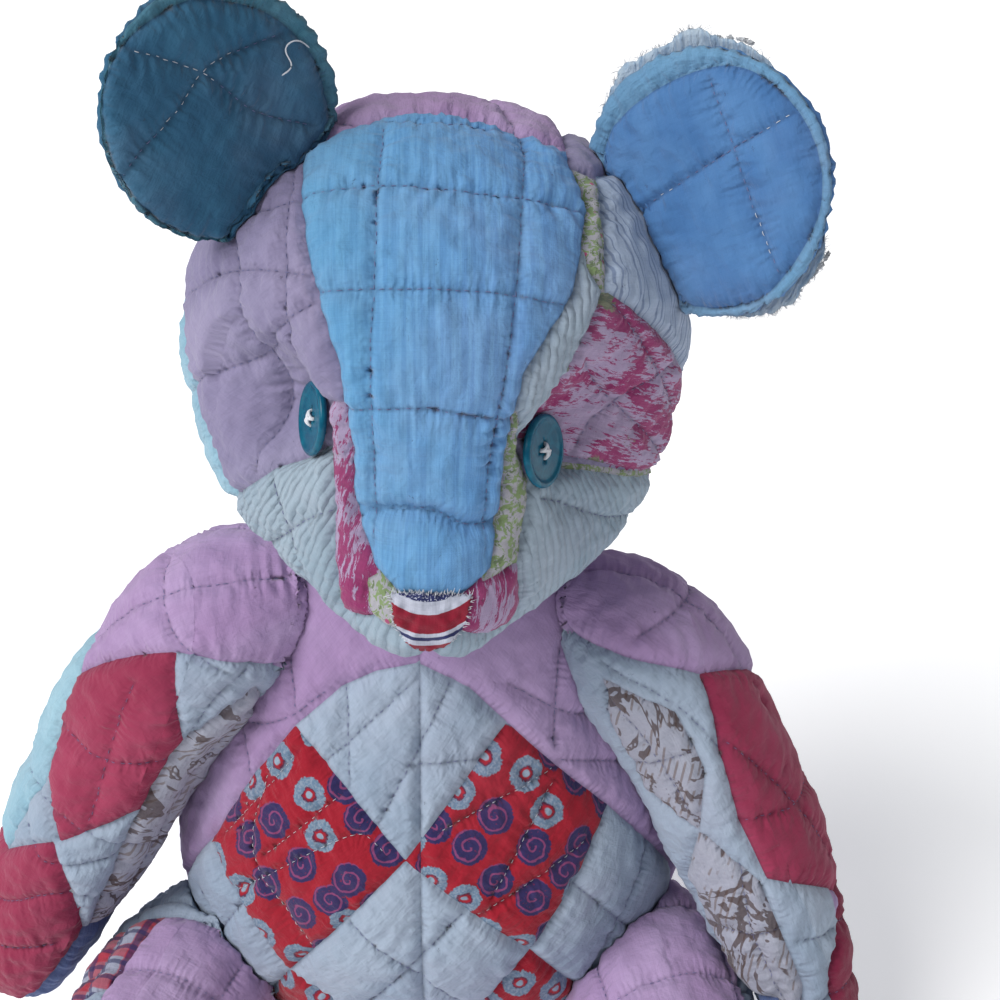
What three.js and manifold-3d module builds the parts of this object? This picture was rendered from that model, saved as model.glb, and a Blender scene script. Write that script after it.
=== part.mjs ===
// A seated patchwork teddy bear, sewn from an old quilt and stuffed.
// Millimetres, +Z up. The bear faces -Y and sits on z = 0, with the origin under the middle of its body.
// Left and right are the bear's own: its left side is +X.
// Every stuffed form has a quilt cover, cut into the panels that are sewn together, and stuffing inside.
import * as THREE from "three";
import { mergeVertices } from "three/addons/utils/BufferGeometryUtils.js";
import Module from "manifold-3d";

const wasm = await Module();
wasm.setup();

// ---------------------------------------------------------------- driving dimensions
const QUILT = 3.5; // thickness of the quilt that every cover is cut from
const GAP = 0.3; // clearance between two pieces that are sewn or pressed together
const FAR = 400; // reach of a cutting block, past everything

// The torso and the head are each blended from ellipsoid lobes.
const BODY = {
  centre: [-5, 0, 118],
  blend: 34,
  lobes: [
    { at: [0, 0, -14], radii: [126, 107, 118] }, // belly
    { at: [0, 8, 76], radii: [103, 70, 100] }, // chest
  ],
};
const CENTRE_SEAM_X = -5;
// The side seams lie in a plane that leans back as it rises, so the underside is all back panel.
const SIDE_SEAM = { normal: [0, -0.944, 0.33], offset: 57 };

const HEAD = {
  centre: [3, -14, 372],
  nod: 24, // degrees that the snout points below the horizon
  turn: 0, // degrees towards the bear's right
  roll: 3, // degrees that the bear's left side is lower
  blend: 26,
  // Local axes of the head: x to its left, y backwards, z up.
  lobes: [
    { at: [0, 4, 0], radii: [104, 98, 96] }, // skull
    { at: [2, -28, -34], radii: [86, 74, 62] }, // cheeks and jaw
    { at: [0, -80, -32], radii: [40, 50, 36] }, // snout
  ],
  // Hollows beside the snout, where thread pulls the eyes in.
  hollows: [
    { azimuth: -46, elevation: 16, depth: 22, spread: 13 },
    { azimuth: 43, elevation: 12.5, depth: 20, spread: 13 },
  ],
};
// The gusset's outline, seen along a line raised above the snout: left edge, right edge and height.
const GUSSET = {
  raised: 54,
  outline: [
    [15, -12, -102],
    [25, -22, -92],
    [27, -29, -72],
    [30, -32, -45],
    [34, -35, -20],
    [52, -46, 12],
    [57, -53, 45],
    [50, -54, 66],
    [48, -54, 120],
  ],
  crown: 50,
};

const EAR = { half: 12, dish: 6, rise: 17 };
const EARS = [
  { side: "right", radius: 49, at: [-88, 7, 89], tilt: 40, lean: -38, fan: 10, colour: 0x3f6f86 },
  { side: "left", radius: 53, at: [108, 2, 69], tilt: -40, lean: -35, fan: -14, colour: 0x4a80b4 },
];

const ARM = { width: 40, thickness: 34, shoulder: 0.84, wrist: 0.9, bulge: 0.2, top: { bulge: 0.22, at: 0.2, spread: 0.17 } };
const ARMS = [
  {
    side: "right",
    spine: [[-48, -20, 258], [-126, -14, 248], [-172, -30, 120], [-216, -50, 36]],
    outward: [-0.8, -0.45, 0.4],
  },
  {
    side: "left",
    spine: [[52, -20, 252], [118, -18, 232], [150, -52, 112], [188, -92, 36]],
    outward: [0.92, 0.1, 0.36],
  },
];

const LEG = {
  thigh: [52, 50],
  ankle: [42, 40],
  foot: [43, 54],
  rise: 16,
  soleAt: 9,
};
const LEGS = [
  { side: "right", hip: [-100, -12, 52], toe: [-172, -214, 46] },
  { side: "left", hip: [94, -12, 52], toe: [132, -224, 46] },
];

const BUTTON = { radius: 14.5, thickness: 3.4, rim: 2.2, dish: 0.9, hole: 1.3, holeAt: 2.9, sunk: 1.6 };
const EYES = [
  { side: "right", azimuth: -36.7, elevation: 16, faces: [-76, 17] },
  { side: "left", azimuth: 31.7, elevation: 11.6, faces: [68, 25] },
];
const THREAD = { radius: 0.85, proud: 1.5 };

// The nose patch's outline, in the same view as the gusset.
const NOSE = {
  thickness: 1.6,
  outline: [
    [2, 0, -125],
    [9, -7, -121],
    [15, -13, -113],
    [16, -14, -102.5],
  ],
};

// ---------------------------------------------------------------- solids and meshes
const toSolid = (geometry) => {
  geometry.deleteAttribute("normal");
  geometry.deleteAttribute("uv");
  const merged = mergeVertices(geometry, 1e-4);
  const mesh = new wasm.Mesh({
    numProp: 3,
    vertProperties: new Float32Array(merged.attributes.position.array),
    triVerts: new Uint32Array(merged.index.array),
  });
  return new wasm.Manifold(mesh);
};

const toGeometry = (solid) => {
  const { vertProperties, triVerts, numProp, numVert } = solid.getMesh();
  const points = new Float32Array(numVert * 3);
  for (let i = 0; i < numVert; i++)
    points.set(vertProperties.subarray(i * numProp, i * numProp + 3), i * 3);
  const geometry = new THREE.BufferGeometry();
  geometry.setAttribute("position", new THREE.BufferAttribute(points, 3));
  geometry.setIndex(new THREE.BufferAttribute(triVerts, 1));
  return geometry;
};

// The largest body of a solid, without the slivers that a cut can leave.
const largest = (solid) =>
  solid.decompose().reduce((a, b) => (b.volume() > a.volume() ? b : a));

const cut = (solid, ...tools) => tools.reduce((rest, tool) => rest.subtract(tool), solid);

// A closed surface: each point of a unit sphere goes where place() says.
const mapped = (place, across, down) => {
  const sphere = new THREE.SphereGeometry(1, across, down);
  sphere.deleteAttribute("normal");
  sphere.deleteAttribute("uv");
  const merged = mergeVertices(sphere, 1e-4);
  const position = merged.attributes.position;
  const point = new THREE.Vector3();
  for (let i = 0; i < position.count; i++) {
    point.fromBufferAttribute(position, i).normalize();
    place(point);
    position.setXYZ(i, point.x, point.y, point.z);
  }
  return toSolid(merged);
};

// Everything on the side of a plane that its normal points to, from an offset on.
const beyond = (normal, offset, origin = [0, 0, 0]) => {
  const direction = new THREE.Vector3(...normal).normalize();
  const slab = new THREE.BoxGeometry(4 * FAR, 4 * FAR, FAR);
  slab.translate(0, 0, FAR / 2 + offset);
  slab.applyQuaternion(
    new THREE.Quaternion().setFromUnitVectors(new THREE.Vector3(0, 0, 1), direction),
  );
  slab.translate(...origin);
  return toSolid(slab);
};

const halves = (solid, normal, offset, origin) => [
  largest(solid.intersect(beyond(normal, offset + GAP / 2, origin))),
  largest(solid.subtract(beyond(normal, offset - GAP / 2, origin))),
];

const group = new THREE.Group();
group.name = "threadbare_teddy_bear";

const add = (name, solid, color, roughness = 0.92) => {
  const material = new THREE.MeshStandardMaterial({ color, roughness, metalness: 0 });
  const mesh = new THREE.Mesh(toGeometry(solid), material);
  mesh.name = name;
  group.add(mesh);
};

// ---------------------------------------------------------------- stuffed forms
// Distance from a point to an ellipsoid's surface, near enough for a soft form.
const toLobe = (p, { at, radii }) => {
  const q = [p.x - at[0], p.y - at[1], p.z - at[2]];
  const near = Math.hypot(...q.map((v, i) => v / radii[i]));
  const slope = Math.hypot(...q.map((v, i) => v / radii[i] ** 2));
  return (near * (near - 1)) / Math.max(slope, 1e-9);
};

const softMin = (a, b, blend) => {
  const h = Math.max(blend - Math.abs(a - b), 0);
  return Math.min(a, b) - (h * h) / (4 * blend);
};

const direction = (azimuth, elevation) => {
  const a = THREE.MathUtils.degToRad(azimuth);
  const e = THREE.MathUtils.degToRad(elevation);
  return new THREE.Vector3(Math.sin(a) * Math.cos(e), -Math.cos(a) * Math.cos(e), Math.sin(e));
};

// How far from its middle a form of blended lobes reaches, less what its hollows take.
const reach = (toward, { lobes, blend, hollows = [] }) => {
  const p = new THREE.Vector3();
  let inside = 0;
  let outside = 260;
  for (let i = 0; i < 40; i++) {
    const middle = (inside + outside) / 2;
    p.copy(toward).multiplyScalar(middle);
    const gap = lobes.map((lobe) => toLobe(p, lobe)).reduce((a, b) => softMin(a, b, blend));
    if (gap < 0) inside = middle;
    else outside = middle;
  }
  for (const { azimuth, elevation, depth, spread } of hollows) {
    const away = THREE.MathUtils.radToDeg(toward.angleTo(direction(azimuth, elevation)));
    inside -= depth * Math.exp(-((away / spread) ** 2) / 2);
  }
  return inside;
};

// Weight presses a soft form flat where it meets the seat.
const press = (point, grow) => {
  point.z = Math.max(point.z, -grow);
};

const turned = (x, y, z, order) =>
  new THREE.Matrix4().makeRotationFromEuler(
    new THREE.Euler(...[x, y, z].map(THREE.MathUtils.degToRad), order),
  );

const headFrame = new THREE.Matrix4()
  .makeTranslation(...HEAD.centre)
  .multiply(turned(HEAD.nod, HEAD.roll, -HEAD.turn, "ZXY"));

// The torso's poles are its top and its seat.
const bodyForm = (grow) =>
  mapped(
    (p) => {
      p.set(p.x, -p.z, p.y);
      p.multiplyScalar(reach(p, BODY) + grow).add(new THREE.Vector3(...BODY.centre));
      press(p, grow);
    },
    20,
    12,
  );

// The head's poles are at the back and at the end of the snout.
const headForm = (grow) =>
  mapped(
    (p) => {
      p.set(p.x, -p.y, -p.z);
      p.multiplyScalar(reach(p, HEAD) + grow).applyMatrix4(headFrame);
    },
    20,
    13,
  );

// A limb runs along a curve; girth() sets its half width and half thickness, and lift() raises it.
const limbForm = (curve, front, girth, lift, grow, across, down) =>
  mapped(
    (p) => {
      const polar = Math.acos(THREE.MathUtils.clamp(p.y, -1, 1));
      const along = 0.5 - 0.5 * Math.cos(polar);
      const blunt = Math.sin(polar) ** 0.6;
      const angle = Math.atan2(p.z, p.x);
      const tangent = curve.getTangent(along);
      const forward = new THREE.Vector3(...front).projectOnPlane(tangent).normalize();
      const aside = new THREE.Vector3().crossVectors(forward, tangent);
      const [width, thickness] = girth(along);
      const edge = grow * Math.min(1, 1.5 * blunt);
      p.copy(curve.getPoint(along));
      p.addScaledVector(aside, Math.cos(angle) * (width * blunt + edge));
      p.addScaledVector(forward, Math.sin(angle) * (thickness * blunt + edge) + lift(along));
      p.addScaledVector(tangent, -Math.cos(polar) * grow);
      press(p, grow);
    },
    across,
    down,
  );

const { lerp, smoothstep } = THREE.MathUtils;

const armForm = (arm, grow) =>
  limbForm(
    new THREE.CubicBezierCurve3(...arm.spine.map((s) => new THREE.Vector3(...s))),
    arm.outward,
    (t) => {
      const full = ARM.top.bulge * Math.exp(-(((t - ARM.top.at) / ARM.top.spread) ** 2));
      const girth = lerp(ARM.shoulder, ARM.wrist, t) + ARM.bulge * Math.sin(Math.PI * t) + full;
      return [ARM.width * girth, ARM.thickness * girth];
    },
    () => 0,
    grow,
    12,
    10,
  );

const legForm = (leg, grow) =>
  limbForm(
    new THREE.LineCurve3(new THREE.Vector3(...leg.hip), new THREE.Vector3(...leg.toe)),
    [0, 0, 1],
    (t) =>
      [0, 1].map((i) =>
        lerp(
          lerp(LEG.thigh[i], LEG.ankle[i], smoothstep(t, 0.1, 0.62)),
          LEG.foot[i],
          smoothstep(t, 0.62, 0.9),
        ),
      ),
    (t) => LEG.rise * smoothstep(t, 0.62, 0.9),
    grow,
    14,
    10,
  );

const earFrame = (ear) =>
  new THREE.Matrix4()
    .multiply(headFrame)
    .multiply(new THREE.Matrix4().makeTranslation(...ear.at))
    .multiply(turned(ear.lean, ear.tilt, ear.fan, "ZYX"));

// An ear: a padded disc, hollowed a little in front.
const earForm = (ear, grow) => {
  const frame = earFrame(ear);
  return mapped(
    (p) => {
      const flat = Math.hypot(p.x, p.z);
      const rim = flat > 0 ? flat ** 0.8 / flat : 0;
      const dish = EAR.dish * (1 - flat * flat);
      p.set(
        -p.x * rim * (ear.radius + grow),
        -p.y * (EAR.half + grow) + (p.y > 0 ? dish : 0.3 * dish),
        p.z * rim * (ear.radius + grow) + EAR.rise,
      ).applyMatrix4(frame);
    },
    16,
    8,
  );
};

// A form less its neighbours: the outside, the space inside the cover, and the stuffing.
const stuffed = (form, ...neighbours) => {
  const inset = (depth) =>
    largest(cut(form(-depth), ...neighbours.map((near) => near(GAP + depth))));
  return {
    cover: inset(0).subtract(inset(QUILT)),
    stuffing: inset(QUILT + GAP),
  };
};

// ---------------------------------------------------------------- torso
const MAUVE = 0xab82ab;
const WHITE = 0xc9ccd6;
const RED_PRINT = 0xb4283a;
const BATTING = 0xd8d6cf;

const body = stuffed(bodyForm);
const [bodyFront, bodyBack] = halves(body.cover, SIDE_SEAM.normal, SIDE_SEAM.offset);
const [bodyLeft, bodyRight] = halves(bodyFront, [1, 0, 0], CENTRE_SEAM_X);
add("body_front_left", bodyLeft, RED_PRINT);
add("body_front_right", bodyRight, RED_PRINT);
add("body_back", bodyBack, MAUVE);
add("body_stuffing", body.stuffing, BATTING);

// ---------------------------------------------------------------- head
const raised = THREE.MathUtils.degToRad(GUSSET.raised);
const viewLine = new THREE.Vector3(0, -Math.cos(raised), Math.sin(raised));

// A block with the given outline, cut right through the head along the raised line.
const headBlock = (outline, widen, near, far) => {
  const left = outline.map(([x, , y]) => new THREE.Vector2(x + widen, y));
  const right = outline.map(([, x, y]) => new THREE.Vector2(x - widen, y));
  const shape = new THREE.Shape([...left, ...right.reverse()]);
  const block = new THREE.ExtrudeGeometry(shape, { depth: far - near, bevelEnabled: false });
  block.translate(0, -widen, near);
  const across = new THREE.Vector3(1, 0, 0);
  const upward = new THREE.Vector3().crossVectors(viewLine, across);
  block.applyMatrix4(new THREE.Matrix4().makeBasis(across, upward, viewLine));
  block.applyMatrix4(headFrame);
  return toSolid(block);
};

// The buttons lie flat against the face, pulled into it by their thread.
const buttonFrame = ({ azimuth, elevation, faces }) => {
  const toward = direction(azimuth, elevation);
  const out = direction(...faces);
  const across = new THREE.Vector3(0, 0, 1).cross(out).normalize();
  const up = new THREE.Vector3().crossVectors(out, across);
  const place = toward.clone().multiplyScalar(reach(toward, HEAD)).addScaledVector(out, -BUTTON.sunk);
  return headFrame.clone().multiply(new THREE.Matrix4().makeBasis(across, up, out).setPosition(place));
};

// A turned shape about the local z axis, from a closed profile of [radius, height] points.
const turnedSolid = (profile, segments, frame) => {
  const lathe = new THREE.LatheGeometry(
    profile.map(([r, h]) => new THREE.Vector2(r, h)),
    segments,
  );
  lathe.rotateX(Math.PI / 2);
  lathe.applyMatrix4(frame);
  return toSolid(lathe);
};

const post = (radius, low, high, segments, frame) =>
  turnedSolid([[0, low], [radius, low], [radius, high], [0, high], [0, low]], segments, frame);

// The dent that each button is pulled into.
const sockets = EYES.map(
  (eye) => (grow) => post(BUTTON.radius + grow, -grow, FAR / 4, 16, buttonFrame(eye)),
);

const head = stuffed(headForm, bodyForm, ...sockets);
const headStrip = head.cover.intersect(headBlock(GUSSET.outline, 0, -FAR, FAR));
const headSides = head.cover.subtract(headBlock(GUSSET.outline, GAP, -FAR, FAR));
const outward = viewLine.clone().transformDirection(headFrame).toArray();
const [gusset, headBack] = halves(headStrip, outward, GUSSET.crown, HEAD.centre);
const headLeft = new THREE.Vector3(1, 0, 0).transformDirection(headFrame).toArray();
const [sideLeft, sideRight] = halves(headSides, headLeft, 0, HEAD.centre);
add("head_gusset", gusset, 0x6a9bc6);
add("head_back", headBack, MAUVE);
add("head_side_left", sideLeft, 0xb56a93);
add("head_side_right", sideRight, MAUVE);
add("head_stuffing", head.stuffing, BATTING);

const nose = headForm(NOSE.thickness + GAP)
  .subtract(headForm(GAP))
  .intersect(headBlock(NOSE.outline, 0, 0, FAR));
add("nose_patch", largest(nose), 0x8d3348);

// ---------------------------------------------------------------- ears
const ears = EARS.map((ear) => {
  const { cover, stuffing } = stuffed((grow) => earForm(ear, grow), headForm);
  const frame = earFrame(ear);
  const facing = new THREE.Vector3(0, -1, 0).transformDirection(frame).toArray();
  const middle = new THREE.Vector3().setFromMatrixPosition(frame).toArray();
  const [front, back] = halves(cover, facing, 0, middle);
  add("ear_front_" + ear.side, front, ear.colour);
  add("ear_back_" + ear.side, back, ear.colour);
  add("ear_batting_" + ear.side, stuffing, BATTING);
  return (grow) => earForm(ear, grow);
});

// ---------------------------------------------------------------- legs
const legs = LEGS.map((leg) => {
  const form = (grow) => legForm(leg, grow);
  const { cover, stuffing } = stuffed(form, bodyForm);
  const axis = new THREE.Vector3(...leg.toe).sub(new THREE.Vector3(...leg.hip)).normalize();
  const [sole, tube] = halves(cover, axis.toArray(), -LEG.soleAt, leg.toe);
  const outside = new THREE.Vector3(Math.sign(leg.hip[0]), 0, 0).projectOnPlane(axis);
  const [outer, inner] = halves(tube, outside.toArray(), 0, leg.hip);
  add("leg_inner_" + leg.side, inner, MAUVE);
  add("leg_outer_" + leg.side, outer, WHITE);
  add("sole_" + leg.side, sole, MAUVE);
  add("leg_stuffing_" + leg.side, stuffing, BATTING);
  return form;
});

// ---------------------------------------------------------------- arms
for (const arm of ARMS) {
  const form = (grow) => armForm(arm, grow);
  const { cover, stuffing } = stuffed(form, bodyForm, headForm, ...legs, ...ears);
  const [outer, inner] = halves(cover, arm.outward, 0, arm.spine[1]);
  add("arm_outer_" + arm.side, outer, 0xb2303f);
  add("arm_inner_" + arm.side, inner, WHITE);
  add("arm_stuffing_" + arm.side, stuffing, BATTING);
}

// ---------------------------------------------------------------- button eyes
// A coat button: raised rim, dished middle, four holes, with stitches crossing between the holes.
for (const eye of EYES) {
  const frame = buttonFrame(eye);
  const { radius, thickness, rim, dish, hole, holeAt } = BUTTON;
  const face = thickness - dish;
  const disc = turnedSolid(
    [
      [0, 0],
      [radius - 1, 0],
      [radius, 1],
      [radius, thickness - 1],
      [radius - 0.8, thickness],
      [radius - rim, thickness],
      [radius - rim - 1, face],
      [0, face],
      [0, 0],
    ],
    24,
    frame,
  );
  const corners = [0, 1, 2, 3].map((i) => {
    const angle = (i * Math.PI) / 2 + Math.PI / 4;
    return new THREE.Vector3(Math.cos(angle), Math.sin(angle), 0).multiplyScalar(holeAt);
  });
  const at = ({ x, y, z }) => frame.clone().multiply(new THREE.Matrix4().makeTranslation(x, y, z));
  const holes = corners.map((c) => post(hole, -1, thickness + 1, 8, at(c)));
  add("eye_button_" + eye.side, cut(disc, ...holes), 0x1f6f85, 0.3);

  const top = face + THREAD.proud;
  const stitches = corners.slice(0, 2).map((c, i) => {
    const d = corners[i + 2];
    const path = new THREE.CatmullRomCurve3([
      new THREE.Vector3(c.x, c.y, 0.2),
      new THREE.Vector3(c.x, c.y, face),
      new THREE.Vector3(0.6 * c.x, 0.6 * c.y, top),
      new THREE.Vector3(0.6 * d.x, 0.6 * d.y, top),
      new THREE.Vector3(d.x, d.y, face),
      new THREE.Vector3(d.x, d.y, 0.2),
    ]);
    const section = new THREE.Shape().absarc(0, 0, THREAD.radius, 0, 2 * Math.PI);
    const cord = new THREE.ExtrudeGeometry(section, { steps: 9, curveSegments: 3, extrudePath: path });
    cord.applyMatrix4(frame);
    return toSolid(cord);
  });
  add("eye_thread_" + eye.side, stitches[0].add(stitches[1]), 0xe4e6e8);
}

export default group;
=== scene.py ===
"""A seated patchwork teddy bear, sewn from an old quilt: its covers, seams, quilting, buttons and wear.

Shapes are worked out in millimetres, in the frame of the CAD part, and become metres when a mesh is made.
The bear faces -Y, and left and right are its own.
"""

import math

import bmesh
import bpy
import numpy as np
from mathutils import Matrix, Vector
from mathutils.bvhtree import BVHTree
from mathutils.kdtree import KDTree


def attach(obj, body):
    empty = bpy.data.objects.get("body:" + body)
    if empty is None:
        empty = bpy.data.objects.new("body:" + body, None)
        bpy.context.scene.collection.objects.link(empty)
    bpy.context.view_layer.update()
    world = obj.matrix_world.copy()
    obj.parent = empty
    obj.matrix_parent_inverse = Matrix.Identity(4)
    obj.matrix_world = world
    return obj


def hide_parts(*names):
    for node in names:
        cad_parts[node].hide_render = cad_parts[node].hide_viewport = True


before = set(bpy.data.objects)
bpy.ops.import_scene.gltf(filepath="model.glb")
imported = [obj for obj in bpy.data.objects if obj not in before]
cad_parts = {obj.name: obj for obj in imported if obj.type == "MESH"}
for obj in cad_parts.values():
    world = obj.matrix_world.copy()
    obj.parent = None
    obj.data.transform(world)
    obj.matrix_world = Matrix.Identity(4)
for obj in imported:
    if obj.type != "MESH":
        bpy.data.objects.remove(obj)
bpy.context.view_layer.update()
rng = np.random.default_rng(11)

# ---------------------------------------------------------------- dimensions of the stuffed forms
BODY = dict(centre=(-5, 0, 118), blend=34, hollows=[], lobes=[
    ((0, 0, -14), (126, 107, 118)), ((0, 8, 76), (103, 70, 100))])
HEAD = dict(centre=(3, -14, 372), blend=26, lobes=[
    ((0, 4, 0), (104, 98, 96)), ((2, -28, -34), (86, 74, 62)), ((0, -80, -32), (40, 50, 36))],
    hollows=[(-46, 16, 22, 13), (43, 12.5, 20, 13)])
HEAD_NOD, HEAD_ROLL = 24, 3
SIDE_SEAM, SIDE_SEAM_OFFSET = (0, -0.944, 0.33), 57
CENTRE_SEAM_X = -5
GUSSET_RAISED = 54
GUSSET = [(15, -12, -102), (25, -22, -92), (27, -29, -72), (30, -32, -45), (34, -35, -20), (52, -46, 12),
          (57, -53, 45), (50, -54, 66), (48, -54, 120)]  # left edge, right edge and height
CROWN_DEPTH = 50
NOSE = [(-125, 2.5, 2.5), (-121, 9, 8), (-113, 14.6, 13), (-102.5, 16.2, 14)]  # height, reach to each side
NOSE_TOP, NOSE_MIDDLE, NOSE_FACE, NOSE_LINING = -101.8, -113.5, 2.4, 1.1
IN_FRONT = 220  # a place well in front of the face
EAR_HALF, EAR_DISH, EAR_RISE = 12, 6, 17
EARS = dict(right=dict(radius=49, at=(-88, 7, 89), tilt=40, lean=-38, fan=10),
            left=dict(radius=53, at=(108, 2, 69), tilt=-40, lean=-35, fan=-14))
ARMS = dict(
    right=dict(spine=[(-48, -20, 258), (-126, -14, 248), (-172, -30, 120), (-216, -50, 36)],
               outward=(-0.8, -0.45, 0.4)),
    left=dict(spine=[(52, -20, 252), (118, -18, 232), (150, -52, 112), (188, -92, 36)],
              outward=(0.92, 0.1, 0.36)))
LEGS = dict(right=dict(hip=(-100, -12, 52), toe=(-172, -214, 46)),
            left=dict(hip=(94, -12, 52), toe=(132, -224, 46)))
SOLE_AT = 9
BUTTON_RADIUS, BUTTON_SUNK, HOLE_RADIUS, HOLE_RING = 14.5, 1.6, 1.25, 2.9
BUTTON_PROFILE = [(0, 0), (11.5, 0), (13.4, 0.25), (14.2, 0.9), (14.5, 1.7), (14.3, 2.6), (13.7, 3.2),
                  (12.9, 3.4), (12.2, 3.2), (11.7, 2.8), (11.0, 2.55), (9.5, 2.5), (6.0, 2.5), (3.0, 2.5),
                  (0, 2.5)]
EYES = dict(right=dict(at=(-36.7, 16), faces=(-76, 17)), left=dict(at=(31.7, 11.6), faces=(68, 25)))

HEM = 0.04  # how far each panel's edge stands back from the seam
LINING, EAR_LINING = 5.2, 3.4  # depth of the cover's inside below the form
# How far a cover stays off its neighbour: head and ears, limbs, and all of them once they are quilted.
COVER_GAP, LIMB_GAP, TOUCH_GAP = 0.6, 0.7, 0.5
HEAD_CORE_GAP, EAR_CORE_GAP, EAR_CORE_IN = 8.5, 5.6, 7.4  # how deep the wadding lies
PUFF_REACH, SEAM_HALF, LINE_HALF, PUCKER_PITCH = 9.5, 2.4, 1.7, 6.6  # how quilting rises from a seam
AROUND = 0.63  # millimetres round a limb for each degree, on its flat pattern


# ---------------------------------------------------------------- small geometry helpers
def unit(v):
    v = np.asarray(v, float)
    return v / np.maximum(np.linalg.norm(v, axis=-1, keepdims=True), 1e-9)


def lerp(a, b, t):
    return a + (b - a) * t


def smooth(t, low, high):
    t = np.clip((t - low) / (high - low), 0, 1)
    return t * t * (3 - 2 * t)


def direction(azimuth, elevation):
    a, e = np.radians(azimuth), np.radians(elevation)
    return np.array([np.sin(a) * np.cos(e), -np.cos(a) * np.cos(e), np.sin(e)])


def turn(axis, degrees):
    c, s = math.cos(math.radians(degrees)), math.sin(math.radians(degrees))
    i, j = {"x": (1, 2), "y": (2, 0), "z": (0, 1)}[axis]
    m = np.eye(3)
    m[i, i] = m[j, j] = c
    m[i, j], m[j, i] = -s, s
    return m


def waves(p, size, count=26, stretch=(1, 1, 1), seed=0):
    """Smooth noise, about -1 to 1, made of plane waves about that long in millimetres."""
    r = np.random.default_rng(seed)
    k = unit(r.normal(size=(count, 3))) * (2 * np.pi / size) * r.uniform(0.6, 1.5, (count, 1))
    k = k / np.asarray(stretch, float)
    return np.cos(p @ k.T + r.uniform(0, 2 * np.pi, count)).sum(1) / math.sqrt(count / 2) / 1.5


def inside_outline(points, outline):
    """Which 2D points lie inside a closed outline."""
    x, y = points[:, 0], points[:, 1]
    hit = np.zeros(len(points), bool)
    for (x0, y0), (x1, y1) in zip(outline, [*outline[1:], outline[0]]):
        crosses = (y0 > y) != (y1 > y)
        with np.errstate(divide="ignore", invalid="ignore"):
            hit ^= crosses & (x < x0 + (y - y0) * (x1 - x0) / (y1 - y0 if y1 != y0 else 1e-9))
    return hit


def reach(toward, form):
    """How far a form of blended lobes reaches from its middle, less what its hollows take."""
    inside, outside = np.zeros(len(toward)), np.full(len(toward), 260.0)
    for _ in range(26):
        middle = (inside + outside) / 2
        p = toward * middle[:, None]
        gap = None
        for at, radii in form["lobes"]:
            q, radii = p - np.array(at, float), np.array(radii, float)
            near = np.linalg.norm(q / radii, axis=1)
            d = near * (near - 1) / np.maximum(np.linalg.norm(q / radii**2, axis=1), 1e-9)
            if gap is None:
                gap = d
            else:
                h = np.maximum(form["blend"] - np.abs(gap - d), 0)
                gap = np.minimum(gap, d) - h * h / (4 * form["blend"])
        inside, outside = np.where(gap < 0, middle, inside), np.where(gap < 0, outside, middle)
    for azimuth, elevation, depth, spread in form["hollows"]:
        away = np.degrees(np.arccos(np.clip(toward @ direction(azimuth, elevation), -1, 1)))
        inside = inside - depth * np.exp(-((away / spread) ** 2) / 2)
    return inside


def icosphere(level):
    bm = bmesh.new()
    bmesh.ops.create_icosphere(bm, subdivisions=level, radius=1)
    points = np.array([v.co for v in bm.verts])
    faces = np.array([[v.index for v in f.verts] for f in bm.faces])
    bm.free()
    return unit(points), faces


def barrel(polar_rows, columns):
    """Polar angle and turn of each point of a closed grid, with a pole at each end, and its triangles."""
    rows = len(polar_rows) + 1
    polar = np.concatenate([[0], np.repeat(polar_rows, columns), [np.pi]])
    angle = np.concatenate([[0], np.tile(np.arange(columns) * 2 * np.pi / columns, rows - 1), [0]])
    j = np.arange(columns)
    k = (j + 1) % columns
    last = len(polar) - 1
    faces = [np.stack([0 * j, 1 + j, 1 + k], 1)]
    for i in range(rows - 2):
        a, b = 1 + i * columns, 1 + (i + 1) * columns
        faces += [np.stack([a + j, b + j, b + k], 1), np.stack([a + j, b + k, a + k], 1)]
    a = 1 + (rows - 2) * columns
    faces.append(np.stack([a + j, 0 * j + last, a + k], 1))
    return polar, angle, np.concatenate(faces)


def run_of(p):
    """How far along a line each of its points lies."""
    return np.concatenate([[0], np.cumsum(np.linalg.norm(np.diff(p, axis=0), axis=1))])


def facing_out(points, faces):
    """The faces of a closed form, turned round if they face its inside."""
    a, b, c = (points[faces[:, i]] for i in range(3))
    volume = np.einsum("ij,ij->i", a - points.mean(0), np.cross(b - a, c - a)).sum()
    return faces if volume > 0 else faces[:, ::-1].copy()


def normals_of(points, faces):
    a, b, c = (points[faces[:, i]] for i in range(3))
    n = np.cross(b - a, c - a)
    out = np.zeros_like(points)
    for i in range(3):
        np.add.at(out, faces[:, i], n)
    return unit(out)


def rim_of(faces, count):
    """The open edges of a sheet of that many points, each directed as its own face is."""
    directed = faces[:, [0, 1, 1, 2, 2, 0]].reshape(-1, 2)
    start, end = directed.T
    return directed[~np.isin(start * count + end, end * count + start)]


def lined(faces, rim, count):
    """A sheet's faces, its lining's faces and the walls between. The lining's points follow the sheet's."""
    a, b = rim.T
    return np.concatenate([faces, faces[:, ::-1] + count, np.stack([b, a, a + count], 1),
                           np.stack([b, a + count, b + count], 1)])


class Near:
    """Nearest points of a set."""

    def __init__(self, points):
        self.points = np.asarray(points, float)
        self.tree = KDTree(len(points))
        for i, p in enumerate(self.points):
            self.tree.insert(p, i)
        self.tree.balance()

    def index(self, queries):
        return np.array([self.tree.find(q)[1] for q in queries])

    def blend(self, queries, values, count=4):
        out = []
        for q in queries:
            found = self.tree.find_n(q, count)
            w = np.array([1 / (d * d + 0.05) for _, _, d in found])
            out.append((values[[i for _, i, _ in found]].T * w).sum(-1) / w.sum())
        return np.array(out)


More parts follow.
